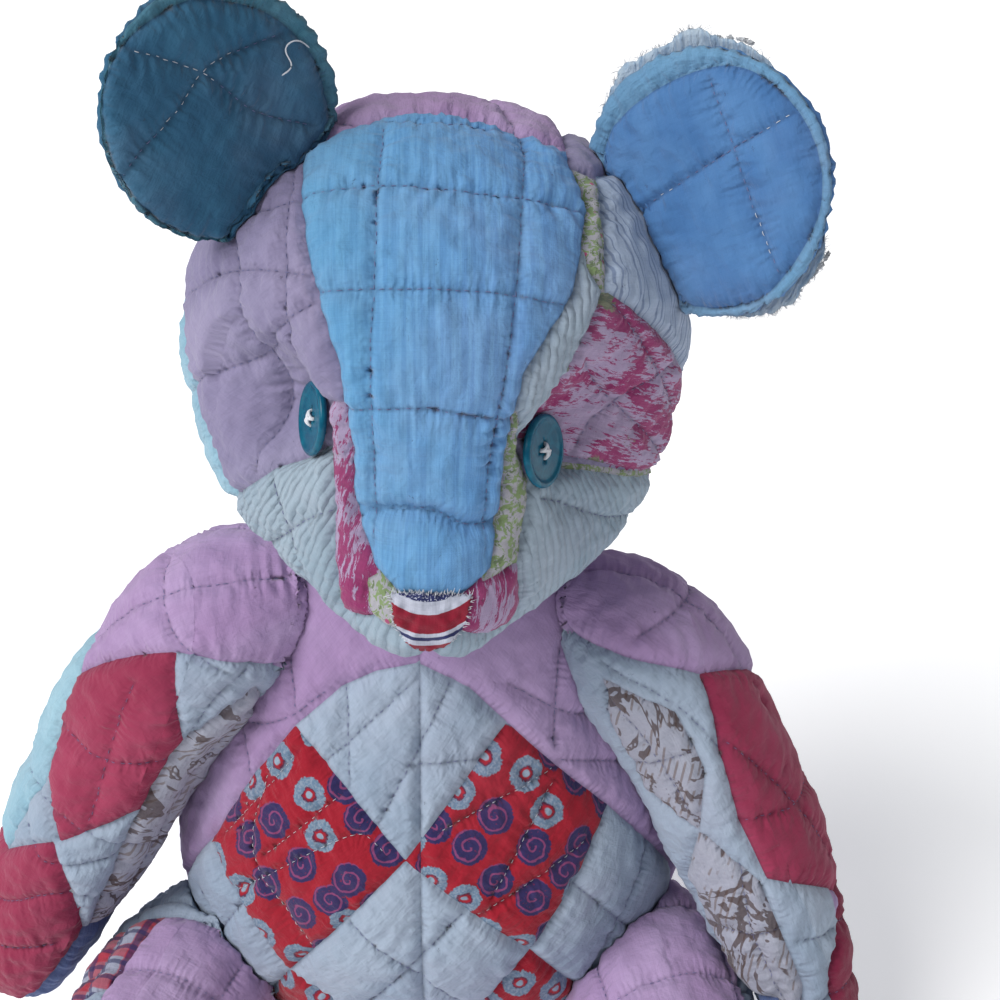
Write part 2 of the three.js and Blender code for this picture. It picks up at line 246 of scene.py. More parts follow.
# ---------------------------------------------------------------- patches
# A patch has a fabric, an outline on its form's own pattern plane, and the turn of its grain in degrees.
class Unrolled:
    """A round form's surface laid out flat, round the line that its patches are seen along.

    Flat points are millimetres along the surface. A point of the pattern is given as it is seen along
    that line, and one beyond the form's rim is carried on round it.
    """

    def __init__(self, form, across, up, out, scale):
        self.form, self.scale = form, scale
        self.axes = np.array([across, up, out], float)

    def flat(self, q):
        d = unit(q) @ self.axes.T
        theta = np.arccos(np.clip(d[:, 2], -1, 1))
        return unit(d[:, :2]) * (theta * self.scale)[:, None]

    def seen(self, points):
        theta = np.radians(np.arange(0.5, 179, 1))
        out = []
        for x, v in points:
            away = math.hypot(x, v)
            side = np.array([x, v]) / max(away, 1e-6)
            d = np.stack([side[0] * np.sin(theta), side[1] * np.sin(theta), np.cos(theta)], 1) @ self.axes
            shown = reach(d, self.form) * np.sin(theta)
            rim = int(shown[:110].argmax())
            if away <= shown[rim]:
                angle = np.interp(away, shown[: rim + 1], theta[: rim + 1])
            else:
                angle = theta[rim] + (away - shown[rim]) / self.scale
            out.append(side * angle * self.scale)
        return np.array(out)


raised = math.radians(GUSSET_RAISED)
VIEW_LINE = np.array([0, -math.cos(raised), math.sin(raised)])
VIEW_UP = np.array([0, math.sin(raised), math.cos(raised)])
body_map = Unrolled(BODY, (1, 0, 0), (0, 0.5, 0.866), (0, -0.866, 0.5), 118)
head_map = Unrolled(HEAD, (1, 0, 0), VIEW_UP, VIEW_LINE, 100)


def patch_label(flat, patches):
    """Index of the last patch that holds each flat point. The first patch is the ground."""
    out = np.zeros(len(flat), int)
    for i, patch in enumerate(patches):
        if patch.get("outline") is not None:
            out[inside_outline(flat, patch["outline"])] = i
    return out


def patches_on(surface, rows):
    """Patches from rows of (name, fabric, turn of the grain, outline as seen)."""
    made = []
    for name, fabric, grain, outline in rows:
        flat = None if outline is None else (surface.seen(outline) if surface else np.array(outline, float))
        made.append(dict(name=name, fabric=fabric, grain=grain, outline=flat))
    return made


BODY_PATCHES = patches_on(body_map, [
    ("chest", "mauve", 0, None),
    ("bib", "gauze", 40, [(-57, 46), (-36, 64), (-20, 71), (-1, 75), (22, 64), (39, 48), (-7, -13)]),
    ("print_right", "print", 40, [(-57, 46), (-7, -13), (-64, -73), (-102, -12), (-79, 21)]),
    ("print_left", "print", 55, [(39, 48), (86, 7), (50, -60), (-7, -13)]),
    ("lap", "gauze", 45, [(-7, -13), (50, -60), (-2, -116), (-64, -73)]),
    ("flank_left", "gauze", 40, [(86, 7), (132, -48), (96, -112), (50, -60)]),
    ("flank_right", "gauze", 50, [(-102, -12), (-64, -73), (-104, -128), (-150, -72)]),
    ("lap_print_right", "print", 40, [(-64, -73), (-2, -116), (-50, -178), (-104, -128)]),
    ("lap_print_left", "print", 50, [(50, -60), (96, -112), (44, -176), (-2, -116)]),
    ("seat_patch", "gauze", 45, [(-2, -116), (44, -176), (-2, -240), (-50, -178)]),
])
HEAD_PATCHES = patches_on(head_map, [
    ("cheek_right", "dusk", 0, None),
    ("side_aqua", "aqua", 0, [(-104, 24), (-102, 4), (-96, -30), (-80, -69), (-100, -150), (-220, -60),
                              (-190, 40)]),
    ("jaw_right", "seersucker", 12, [(-78, -66), (-60, -55), (-42, -47), (-20, -60), (10, -118), (4, -150),
                                     (-60, -160), (-120, -100)]),
    ("snout_floral", "floral", 0, [(-42, -31), (-20, -31), (-10, -100), (-18, -112), (-34, -112),
                                   (-38, -80)]),
    ("snout_green", "sprig", 20, [(-25, -98), (-17, -93), (-4, -112), (-9, -119), (-24, -112)]),
    ("jaw_left", "seersucker", 0, [(3, -118), (20, -60), (50, -52), (92, -50), (97, -66), (74, -104),
                                   (44, -132), (3, -150)]),
    ("cheek_floral", "floral", 130, [(40, 20), (62, 17), (107, -12), (110, -30), (106, -58), (92, -51),
                                     (50, -47), (30, -40)]),
    ("cheek_strip", "seersucker", 30, [(40, 30), (63, 30), (63, 14), (44, -30), (36, -44), (20, -44)]),
    ("temple_sprig", "sprig", 10, [(40, 66), (62, 60), (66, 34), (64, 12), (57, 22), (50, 52)]),
    ("ticking", "ticking", 50, [(61, 62), (64, 14), (110, -14), (112, 10), (108, 50), (90, 80)]),
    ("cheek_olive", "sprig", 0, [(50, -50), (92, -51), (106, -53), (106, -54.6), (92, -53), (50, -52.2)]),
    ("snout_sprig", "sprig", 85, [(20, -34), (33, -34), (40, -58), (37, -84), (30, -112), (12, -112),
                                  (18, -80)]),
    ("snout_rose", "floral", 20, [(12, -97), (23, -97), (36, -90), (38, -108), (30, -117), (10, -114)]),
])
ARM_PATCHES = dict(
    right=patches_on(None, [
        ("shoulder", "mauve", 8, None),
        ("middle", "gauze", 0, [(88, -190), (88, -60), (112, -15), (62, 34), (40, 70), (24, 110), (24, 190),
                                (290, 190), (290, -190)]),
        ("red", "red", 4, [(112, -15), (62, 34), (97, 84), (143, 84), (178, 44), (155, 11)]),
        ("toile", "toile", 0, [(48, 96), (97, 84), (156, 87), (226, 106), (220, 150), (120, 168), (62, 140)]),
        ("lower", "red", 0, [(209, -60), (209, -4), (180, 40), (226, 100), (320, 110), (320, -60)]),
        ("cuff", "slate", 0, [(226, 100), (220, 135), (220, 200), (320, 200), (320, 96)]),
        ("outer_aqua", "aqua", 0, [(112, -15), (155, 11), (209, -4), (209, -60), (207, -120), (122, -110),
                                   (92, -60)]),
    ]),
    left=patches_on(None, [
        ("shoulder", "mauve", 0, None),
        ("middle", "gauze", 0, [(-20, -190), (-20, -150), (10, -112), (40, -84), (64, -57), (131, -30),
                                (290, -30), (290, -190)]),
        ("outer", "gauze", 0, [(150, 30), (150, 190), (290, 190), (290, 20)]),
        ("red", "red", 0, [(64, -57), (100, -77), (131, -86), (164, -84), (196, -13), (170, 40), (96, 18)]),
        ("toile_upper", "toile", 0, [(36, -118), (70, -88), (102, -92), (132, -120), (106, -154),
                                     (60, -140)]),
        ("toile_lower", "toile", 0, [(132, -120), (164, -90), (224, -88), (250, -112), (226, -165),
                                     (160, -160)]),
        ("lower", "darkred", 0, [(196, -13), (226, -62), (310, -70), (310, 60), (190, 60), (172, 38)]),
        ("cuff", "slate", 0, [(229, -120), (224, -190), (310, -190), (310, -112)]),
    ]))
LEG_PATCHES = dict(
    right=patches_on(None, [
        ("top", "mauve", 0, None),
        ("hip_white", "gauze", 0, [(-40, -181), (-40, 181), (38, 181), (50, 60), (52, -20), (60, -60),
                                   (70, -181)]),
        ("plaid", "plaid", 0, [(52, -20), (98, -26), (112, -70), (112, -170), (66, -170), (60, -60)]),
        ("outer_white", "gauze", 0, [(98, -26), (200, -34), (250, -60), (250, -150), (112, -150),
                                     (112, -70)]),
    ]),
    left=patches_on(None, [
        ("top", "mauve", 0, None),
        ("outer_white", "gauze", 0, [(-40, 60), (110, 52), (120, 150), (-40, 150)]),
        ("outer_blue", "slate", 0, [(110, 52), (250, 60), (250, 150), (118, 150)]),
    ]))

# ---------------------------------------------------------------- quilting lines
# Each line is seen along the pattern's own line, or from behind, above or the side.
HEAD_LINES = [
    [(-29, -73), (-20, -71), (0, -71), (14, -76), (27, -74)],
    [(-22, 76), (-23, 40), (-23, 9), (-23, -35), (-22, -85)],
    [(12, 106), (30, 78), (31, 48), (29, 8), (25, -34), (22, -88)],
    [(-54, 79), (-20, 78), (10, 79), (48, 74)],
    [(-53, 46), (-20, 49), (20, 47), (57, 44)],
    [(-45, 8), (-20, 9), (20, 9), (51, 6)],
    [(-35, -34), (-5, -34), (15, -36), (32, -37)],
    [(-96, 42), (-76, 41), (-53, 45)],
    [(-100, 14), (-76, 18), (-45, 14)],
    [(-100, -26), (-87, -18), (-66, -10), (-45, 4)],
    [(-56, 70), (-57, 40), (-56, 6), (-50, -22)],
    [(-78, 66), (-76, 18), (-73, -8), (-70, -58)],
    [(-72, -92), (-52, -78), (-38, -72)],
    [(-62, -60), (-54, -88), (-44, -112)],
    [(66, 10), (90, -14), (112, -36)],
    [(58, -14), (82, -34), (104, -50)],
    [(100, -4), (78, -22), (58, -46)],
    [(44, -64), (72, -72), (104, -76)],
]
BODY_LINES = [
    [(-92, 66), (-80, 30), (-84, -6)],
    [(-60, 82), (-56, 50)],
    [(-97, 44), (-66, 47), (-40, 64)],
    [(62, 82), (60, 36)],
    [(96, 52), (70, 50), (38, 66)],
    [(92, 26), (62, 30)],
    [(-34, 66), (-32, 20)],
    [(-44, 30), (-2, 68)],
    [(14, 68), (-20, 2)],
    [(26, 32), (-4, 30)],
    [(-94, -8), (-54, 36)],
    [(-72, -14), (-36, 16)],
    [(-88, -34), (-32, -2), (-14, -12)],
    [(-50, -58), (-78, -12), (-68, 30)],
    [(8, 0), (62, 28)],
    [(24, -40), (76, -6)],
    [(60, 22), (32, -30)],
    [(-34, -42), (24, -90)],
    [(20, -36), (-34, -94)],
    [(108, -8), (72, -86)],
    [(68, -26), (112, -78)],
    [(-108, -38), (-76, -96)],
    [(-86, -40), (-124, -96)],
    [(-84, -100), (-28, -144)],
    [(-78, -152), (-34, -96)],
    [(72, -86), (22, -146)],
    [(26, -90), (72, -146)],
]
EAR_LINES = dict(
    right=[[(-27, -30), (-25, -10), (-19, 9), (-15, 29), (-5, 42), (7, 54)],
           [(-44, 22), (-15, 27), (10, 24), (34, 30)]],
    left=[[(-29, 16), (3, 23), (45, 30)], [(17, 54), (18, 26), (18, -2), (19, -26)]])
ARM_LINES = dict(
    right=[[(44, -70), (54, -20), (58, 30), (50, 66)], [(0, 10), (40, 4), (100, -24)],
           [(20, -60), (60, -56), (100, -60)], [(86, 30), (130, 48), (162, 58)],
           [(110, 84), (126, 44), (132, 0)], [(40, 74), (66, 76), (92, 84)], [(172, 90), (192, 40), (178, 0)],
           [(202, 110), (206, 60), (232, 10), (232, -50)], [(236, 80), (256, 20), (256, -50)],
           [(56, 112), (102, 116), (152, 118), (216, 130)], [(165, 170), (165, -170)],
           [(110, 170), (110, 186)]],
    left=[[(34, -70), (44, -20), (48, 40), (40, 90)], [(0, -14), (44, -16), (100, -20)],
          [(40, 40), (70, 24), (96, 10)], [(94, -70), (136, -40), (180, -14)],
          [(132, -84), (142, -30), (136, 24)], [(30, -108), (64, -86), (100, -74)],
          [(40, -126), (80, -120), (124, -118)], [(90, -92), (90, -116), (90, -146)],
          [(150, -98), (190, -112), (230, -112)], [(190, -88), (190, -120), (186, -150)],
          [(200, -78), (206, -40), (212, 20)], [(236, -110), (236, -40), (236, 50)]])


# ---------------------------------------------------------------- node materials
def srgb(r, g, b):
    lin = [(c / 255 / 12.92) if c <= 10.3 else ((c / 255 + 0.055) / 1.055) ** 2.4 for c in (r, g, b)]
    return (*lin, 1.0)


def set_values(node, values):
    for key, value in values.items():
        node.inputs[key].default_value = value


class Shade:
    """A material and a short way to write its nodes."""

    def __init__(self, name, roughness=0.9, sheen=0.15, specular=0.25):
        self.mat = bpy.data.materials.new(name)
        self.mat.use_nodes = True
        self.tree = self.mat.node_tree
        self.bsdf = self.tree.nodes["Principled BSDF"]
        set_values(self.bsdf, {"Roughness": roughness, "Sheen Weight": sheen, "Sheen Roughness": 0.5,
                               "Specular IOR Level": specular})
        self.cloth = self.attribute("cloth", "Vector")
        self.seam = self.attribute("seam", "Fac")
        self.phase = self.attribute("phase", "Fac")
        self.gather = self.attribute("gather", "Fac")
        self.place = self.node("ShaderNodeNewGeometry", "Position")

    def node(self, kind, out=0, values=None, **settings):
        n = self.tree.nodes.new(kind)
        for key, value in settings.items():
            setattr(n, key, value)
        for key, value in (values or {}).items():
            if isinstance(value, bpy.types.NodeSocket):
                self.tree.links.new(value, n.inputs[key])
            else:
                n.inputs[key].default_value = value
        return n.outputs[out]

    def attribute(self, name, out):
        n = self.tree.nodes.new("ShaderNodeAttribute")
        n.attribute_name = name
        return n.outputs[out]

    def math(self, op, a, b=0.0):
        return self.node("ShaderNodeMath", 0, {0: a, 1: b}, operation=op)

    def plus(self, a, b):
        return self.math("ADD", a, b)

    def minus(self, a, b):
        return self.math("SUBTRACT", a, b)

    def times(self, a, b):
        return self.math("MULTIPLY", a, b)

    def sine(self, value, rate):
        return self.math("SINE", self.times(value, rate))

    def vector(self, op, a, b=(0, 0, 0), out="Vector"):
        return self.node("ShaderNodeVectorMath", out, {0: a, 1: b}, operation=op)

    def scaled(self, vector, by):
        return self.vector("MULTIPLY", vector, by)

    def noise(self, vector, scale=1.0, detail=2.0, rough=0.5, distortion=0.0, out="Fac"):
        return self.node("ShaderNodeTexNoise", out, {"Vector": vector, "Scale": scale, "Detail": detail,
                                                     "Roughness": rough, "Distortion": distortion})

    def woven(self, across, down, detail=3.0, *more, **kind):
        """Noise laid out on the cloth, with so many cells a millimetre across its grain and down it."""
        return self.noise(self.scaled(self.cloth, (across, down, 1)), 1, detail, *more, **kind)

    def between(self, value, low, high, start=0.0, end=1.0):
        """0 to 1, or start to end, as the value goes from low to high."""
        values = {"Value": value, "From Min": low, "From Max": high, "To Min": start, "To Max": end}
        return self.node("ShaderNodeMapRange", 0, values, interpolation_type="SMOOTHSTEP")

    def mix(self, how_much, a, b, blend="MIX"):
        return self.node("ShaderNodeMix", 2, {0: how_much, 6: a, 7: b}, data_type="RGBA", blend_type=blend)

    def xyz(self, vector):
        n = self.tree.nodes.new("ShaderNodeSeparateXYZ")
        self.tree.links.new(vector, n.inputs[0])
        return n.outputs

    def grid(self, vector, randomness=1.0, out="Distance", **settings):
        values = {"Vector": vector, "Scale": 1.0, "Randomness": randomness}
        return self.node("ShaderNodeTexVoronoi", out, values, **settings)

    def finish(self, colour, height, depth):
        self.tree.links.new(colour, self.bsdf.inputs["Base Color"])
        bump = self.node("ShaderNodeBump", "Normal", {"Height": height, "Distance": depth, "Strength": 1.0})
        self.tree.links.new(bump, self.bsdf.inputs["Normal"])
        return self.mat


FABRICS = {}


def fabric(name, paint, crinkle=0.5, slub=0.5, fade=0.3, faded=(170, 166, 184), specks=0.45, dirt_and_seam_shade=0.3,
           roughness=0.92, ridges=0.0, gather=0.1):
    """Worn quilted cotton. paint() gives its colour before fading, specks, wear, and the painted shade along
    seams and in seersucker valleys.
    """
    n = Shade("quilt_" + name, roughness)
    colour = paint(n)
    # threads: thick and thin yarns both ways
    warp = n.woven(2.8, 0.07, 2)
    weft = n.woven(0.07, 2.8, 2)
    yarn = n.plus(warp, weft)
    shade = n.between(yarn, 0.7, 1.3, 1 - 0.13 * slub, 1 + 0.12 * slub)
    grey = n.node("ShaderNodeCombineXYZ", 0, {0: shade, 1: shade, 2: shade})
    colour = n.mix(1.0, colour, grey, "MULTIPLY")
    # washed-out areas
    wash = n.noise(n.place, 17, 4, 0.6)
    colour = n.mix(n.between(wash, 0.42, 0.72, 0, fade), colour, srgb(*faded))
    # soil rubbed in patches, and a darkening along seams and quilting lines that is partly soil and partly
    # painted shade of their grooves
    seam_soil_and_shade = n.times(n.between(n.seam, 0.0, 1.5, 1, 0), dirt_and_seam_shade * 1.25)
    dirt = n.between(n.noise(n.place, 42, 5, 0.65), 0.56, 0.78, 0, dirt_and_seam_shade * 0.55)
    colour = n.mix(n.math("MAXIMUM", seam_soil_and_shade, dirt), colour, n.mix(0.6, colour, srgb(48, 44, 66)))
    # dark specks of lint and dirt
    spot = n.vector("ADD", n.scaled(n.place, (190, 190, 190)), n.noise(n.place, 900, 2, out="Color"))
    chance = n.xyz(n.grid(spot, out="Color"))[0]
    size = n.between(chance, 0.82, 1.0, 0.0, 0.11)
    dot = n.math("LESS_THAN", n.grid(spot), size)
    colour = n.mix(n.times(dot, specks), colour, srgb(46, 30, 40))
    # puckers across the nearest seam, ridges along the grain, crinkles and soft creases, and the weave
    u, v, _ = n.xyz(n.cloth)
    sway = n.noise(n.place, 130, 3)
    wave = n.math("SINE", n.plus(n.times(n.phase, 2 * math.pi / 3.4), n.times(sway, 9.0)))
    uneven = n.between(n.noise(n.place, 55, 2), 0.35, 0.65, 0.25, 1.2)
    pucker = n.times(n.times(wave, n.gather), n.times(uneven, gather))
    over = n.sine(u, 10.5)
    under = n.sine(v, 10.5)
    mesh = n.times(n.times(over, under), 0.012)
    folds = n.woven(0.4, 0.1, 3, 0.55, 0.2)
    creases = n.woven(0.14, 0.17, 3, 0.5, 0.35)
    height = n.plus(n.times(folds, crinkle), n.times(creases, 0.62))
    height = n.plus(height, n.plus(mesh, n.times(yarn, 0.05)))
    height = n.plus(height, pucker)
    if ridges:
        bent = n.times(n.woven(0.08, 0.03), 5.0)
        ridge = n.math("ABSOLUTE", n.math("SINE", n.plus(n.times(u, math.pi / 3.3), bent)))
        height = n.plus(height, n.times(ridge, ridges))
        # painted shade in the valleys between the ridges
        valley_shade = n.between(ridge, 0.0, 0.45, 0.3, 0)
        colour = n.mix(valley_shade, colour, n.mix(0.5, colour, srgb(70, 84, 112)))
    FABRICS[name] = n.finish(colour, height, 0.0022)


def plain(a, b, across=0.02, down=0.006):
    """Cloth of one colour, which drifts a little between a and b."""
    return lambda n: n.mix(n.between(n.woven(across, down), 0.35, 0.65), srgb(*a), srgb(*b))


def chambray(n):
    """Streaky light blue, greener towards the bear's right."""
    base = plain((88, 136, 188), (104, 154, 202), 0.5, 0.02)(n)
    side = n.between(n.xyz(n.place)[0], -0.07, 0.045)
    return n.mix(n.minus(0.6, n.times(side, 0.6)), base, srgb(86, 150, 182))


def swirl_print(n):
    """Hand-brushed rings and scrolled discs on red."""
    cell = 20.0
    settings = dict(voronoi_dimensions="2D")
    p = n.scaled(n.vector("MULTIPLY", n.cloth, (1, 1, 0)), (1 / cell, 1 / cell, 0))
    wobble = n.vector("SUBTRACT", n.woven(0.22, 0.22, 2, out="Color"), (0.5, 0.5, 0.5))
    centre = n.grid(p, 0.42, "Position", **settings)
    kind = n.xyz(n.grid(p, 0.42, "Color", **settings))[0]
    away = n.vector("ADD", n.vector("SUBTRACT", p, centre), n.scaled(wobble, (0.12, 0.12, 0)))
    x, y, _ = n.xyz(n.scaled(away, (cell, cell, 0)))
    r = n.vector("LENGTH", n.scaled(away, (cell, cell, 0)), out="Value")
    angle = n.math("ARCTAN2", y, x)
    swirl = n.math("SINE", n.plus(angle, n.times(r, 1.4)))
    brush = n.woven(0.9, 0.9)
    ragged = n.plus(r, n.times(brush, 2.2))
    ground = n.mix(n.woven(0.3, 0.3), srgb(144, 16, 36), srgb(160, 28, 46))
    disc_colour = n.mix(n.between(swirl, 0.62, 0.95), srgb(46, 40, 88), srgb(128, 62, 106))
    disc_colour = n.mix(n.between(brush, 0.62, 0.75), disc_colour, srgb(128, 30, 66))
    with_disc = n.mix(n.between(ragged, 9.2, 9.8, 1, 0), ground, disc_colour)
    ring = n.times(n.between(ragged, 8.6, 9.2, 1, 0), n.between(ragged, 4.4, 5.0, 0, 1))
    lined = n.times(n.between(ragged, 8.6, 9.2, 1, 0), n.between(ragged, 3.7, 4.2, 0, 1))
    ring_colour = n.mix(n.between(brush, 0.35, 0.6), srgb(134, 148, 166), srgb(100, 124, 148))
    heart = n.between(r, 1.3, 2.0, 1, 0)
    with_ring = n.mix(heart, ground, srgb(140, 158, 176))
    with_ring = n.mix(n.times(lined, 0.8), with_ring, srgb(60, 40, 70))
    with_ring = n.mix(ring, with_ring, ring_colour)
    return n.mix(n.math("GREATER_THAN", kind, 0.4), with_ring, with_disc)


def toile(n):
    """Faded brown outlines and hatching on white."""
    p = n.cloth
    relief = n.noise(p, 0.018, 4, 0.6, 1.6)
    contour = n.math("ABSOLUTE", n.minus(n.math("FRACT", n.times(relief, 6.5)), 0.5))
    bold = n.between(n.noise(p, 0.035, 2), 0.46, 0.62, 0.07, 0.2)
    line = n.between(n.minus(contour, bold), -0.03, 0.03, 1, 0)
    where = n.between(n.noise(p, 0.03, 2), 0.34, 0.4)
    u, v = n.xyz(p)[0], n.xyz(p)[1]
    hatch = n.math("SINE", n.plus(n.times(u, 1.5), n.times(v, 1.1)))
    shade = n.between(n.noise(p, 0.08, 3), 0.5, 0.56)
    hatching = n.times(n.times(n.between(hatch, 0.2, 0.8), shade), where)
    ground = n.mix(n.noise(p, 0.4, 3), srgb(152, 156, 172), srgb(166, 168, 182))
    colour = n.mix(n.times(hatching, 0.6), ground, srgb(104, 82, 66))
    return n.mix(n.times(n.times(line, where), 0.8), colour, srgb(72, 52, 46))


def floral(n):
    """Scratchy upright magenta strokes, with a few leaves."""
    ground = n.mix(n.woven(0.3, 0.3), srgb(168, 152, 180), srgb(146, 128, 160))
    brush = n.woven(0.6, 0.13, 6, 0.75, 0.15)
    area = n.between(n.woven(0.07, 0.05), 0.4, 0.6, 0.57, 0.43)
    strokes = n.between(n.minus(brush, area), -0.012, 0.012)
    colour = n.mix(strokes, ground, n.mix(n.noise(n.cloth, 0.5, 2), srgb(126, 36, 88), srgb(146, 54, 104)))
    leaf = n.plus(n.grid(n.scaled(n.cloth, (0.044, 0.044, 1))), n.times(n.noise(n.cloth, 0.5, 4, 0.7), 0.3))
    leaves = n.times(n.between(leaf, 0.42, 0.46, 1, 0), 0.9)
    return n.mix(leaves, colour, n.mix(n.between(brush, 0.42, 0.58), srgb(86, 104, 74), srgb(128, 136, 108)))


def sprig(n):
    """Small faded sage leaves with a few pink buds."""
    ground = n.mix(n.noise(n.cloth, 0.2, 3), srgb(150, 150, 158), srgb(166, 164, 172))
    blob = n.noise(n.cloth, 0.42, 3, 0.6, 0.8)
    colour = n.mix(n.between(blob, 0.5, 0.54), ground, srgb(122, 142, 96))
    colour = n.mix(n.between(n.noise(n.cloth, 0.35, 4, 0.7, 0.5), 0.57, 0.62), colour, srgb(96, 112, 80))
    dots = n.grid(n.scaled(n.cloth, (0.16, 0.16, 1)))
    return n.mix(n.between(dots, 0.13, 0.17, 1, 0), colour, srgb(160, 68, 108))


def striped(n, v, bands, blur=0.16):
    """Colour bands across v: (upper limit, colour)."""
    colour = srgb(*bands[0][1])
    for (limit, _), (_, following) in zip(bands, bands[1:]):
        colour = n.mix(n.between(v, limit - blur, limit + blur), colour, srgb(*following))
    return colour


def ticking(n):
    """Thin blue-grey lines on off-white."""
    u = n.plus(n.xyz(n.cloth)[0], n.times(n.noise(n.cloth, 0.06, 2), 0.6))
    line = n.sine(u, 2 * math.pi / 2.9)
    broad = n.between(n.sine(u, 2 * math.pi / 11.6), 0.25, 0.45)
    line = n.minus(line, n.times(broad, 0.8))
    ground = n.mix(n.noise(n.cloth, 0.15, 3), srgb(146, 162, 186), srgb(160, 174, 194))
    return n.mix(n.between(line, 0.2, 0.8, 0, 0.7), ground, srgb(92, 110, 142))


def plaid(n):
    u, v, _ = n.xyz(n.cloth)
    colour = srgb(150, 154, 174)
    for value, period, tint, low in ((u, 18.0, (168, 30, 52), 0.1), (v, 18.0, (168, 30, 52), 0.1),
                                     (u, 9.0, (36, 40, 88), 0.55), (v, 9.0, (36, 40, 88), 0.55)):
        band = n.sine(value, 2 * math.pi / period)
        colour = n.mix(n.between(band, low, low + 0.25, 0, 0.72), colour, srgb(*tint))
    return colour


def nose_stripes(n):
    v = n.plus(n.xyz(n.cloth)[1], n.times(n.noise(n.cloth, 0.25, 2), 0.8))
    white, red, navy = (180, 184, 200), (132, 20, 44), (36, 42, 88)
    bands = [(-9, red), (-7, white), (-5.6, navy), (-4, white), (3.6, red), (8.6, white), (11, navy)]
    colour = striped(n, v, bands)
    flecks = n.between(n.noise(n.cloth, 1.6, 2), 0.57, 0.62)
    return n.mix(n.times(flecks, n.between(v, 8.0, 9.0)), colour, srgb(186, 190, 206))


fabric("chambray", chambray, crinkle=0.14, slub=0.42, fade=0.1, specks=0.5)
fabric("mauve", plain((156, 128, 170), (170, 146, 186)), crinkle=0.2, slub=0.4, fade=0.2,
       faded=(186, 170, 202))
fabric("dusk", plain((124, 118, 150), (142, 136, 166)), crinkle=0.2, slub=0.4, fade=0.25,
       faded=(164, 152, 184))
fabric("gauze", plain((142, 158, 178), (158, 172, 190)), crinkle=0.4, slub=0.35, fade=0.2)
fabric("seersucker", plain((134, 154, 170), (150, 168, 182)), crinkle=0.25, slub=0.35, fade=0.2, ridges=0.32)
fabric("red", plain((138, 42, 72), (154, 56, 86)), crinkle=0.1, slub=0.45, fade=0.14, faded=(170, 100, 128))
fabric("darkred", plain((122, 32, 60), (138, 42, 72)), crinkle=0.1, slub=0.45, fade=0.14,
       faded=(150, 88, 112))
fabric("print", swirl_print, crinkle=0.35, slub=0.4, fade=0.06, faded=(180, 110, 130), specks=0.2, dirt_and_seam_shade=0.2)
fabric("toile", toile, crinkle=0.5, slub=0.3, fade=0.1)
fabric("floral", floral, crinkle=0.4, slub=0.5, fade=0.1)
fabric("sprig", sprig, crinkle=0.4, slub=0.4, fade=0.1)
fabric("ticking", ticking, crinkle=0.4, slub=0.3, fade=0.1)
fabric("plaid", plaid, crinkle=0.3, slub=0.5, fade=0.1)
fabric("nose", nose_stripes, crinkle=0.2, slub=0.6, fade=0.05, specks=0.0, gather=0.0)
fabric("aqua", plain((130, 170, 190), (150, 186, 202)), crinkle=0.6, slub=0.4, fade=0.15)
fabric("torn", plain((138, 164, 190), (170, 188, 204), 0.4, 0.05), crinkle=0.5, slub=0.4, fade=0.3,
       faded=(196, 202, 210), specks=0.2)
fabric("slate", plain((74, 94, 140), (92, 112, 156)), crinkle=0.4, slub=0.6, fade=0.15)
for name, colours, band_colours, band_fade in (
        ("teal", ((40, 84, 114), (50, 98, 128)), ((52, 100, 122), (66, 116, 136)), 0.1),
        ("midblue", ((64, 108, 160), (80, 124, 174)), ((84, 128, 168), (104, 148, 182)), 0.2)):
    fabric(name, plain(*colours, 0.04, 0.02), crinkle=0.35, slub=0.2, fade=0.08, specks=0.4, gather=0.14)
    fabric(name + "_band", plain(*band_colours), crinkle=0.6, slub=0.6, fade=band_fade, specks=0.4,
           gather=0.2)


def thread_material(name, a, b):
    n = Shade(name, 0.8, 0.2)
    twist = n.noise(n.scaled(n.place, (900, 900, 2600)), 1, 2)
    return n.finish(n.mix(twist, srgb(*a), srgb(*b)), twist, 0.0003)


def batting_material():
    n = Shade("batting", 0.97, 0.4)
    fluff = n.noise(n.place, 160, 5, 0.7, 1.0)
    colour = n.mix(fluff, srgb(186, 192, 202), srgb(222, 224, 228))
    colour = n.mix(n.between(n.noise(n.place, 30, 3), 0.5, 0.75, 0, 0.5), colour, srgb(190, 184, 176))
    return n.finish(colour, fluff, 0.004)


def button_material():
    n = Shade("button_plastic", 0.22, 0.0, 0.22)
    marble = n.noise(n.place, 150, 4, 0.6, 1.5)
    colour = n.mix(n.between(marble, 0.35, 0.7), srgb(4, 78, 104), srgb(10, 98, 122))
    scratch = n.noise(n.scaled(n.place, (300, 2600, 900)), 1, 3)
    colour = n.mix(n.between(scratch, 0.62, 0.72, 0, 0.12), colour, srgb(50, 122, 144))
    n.tree.links.new(n.between(scratch, 0.3, 0.7, 0.1, 0.24), n.bsdf.inputs["Roughness"])
    return n.finish(colour, scratch, 0.00012)


THREAD = thread_material("sewing_thread", (196, 200, 208), (222, 224, 230))
# a dark thread: its colour is partly the thread's own tone and partly painted shade of the quilting grooves
THREAD_DARK_AND_SHADED = thread_material("thread_dark_with_painted_shade", (96, 98, 142), (124, 126, 166))
BATTING = batting_material()
BUTTON = button_material()


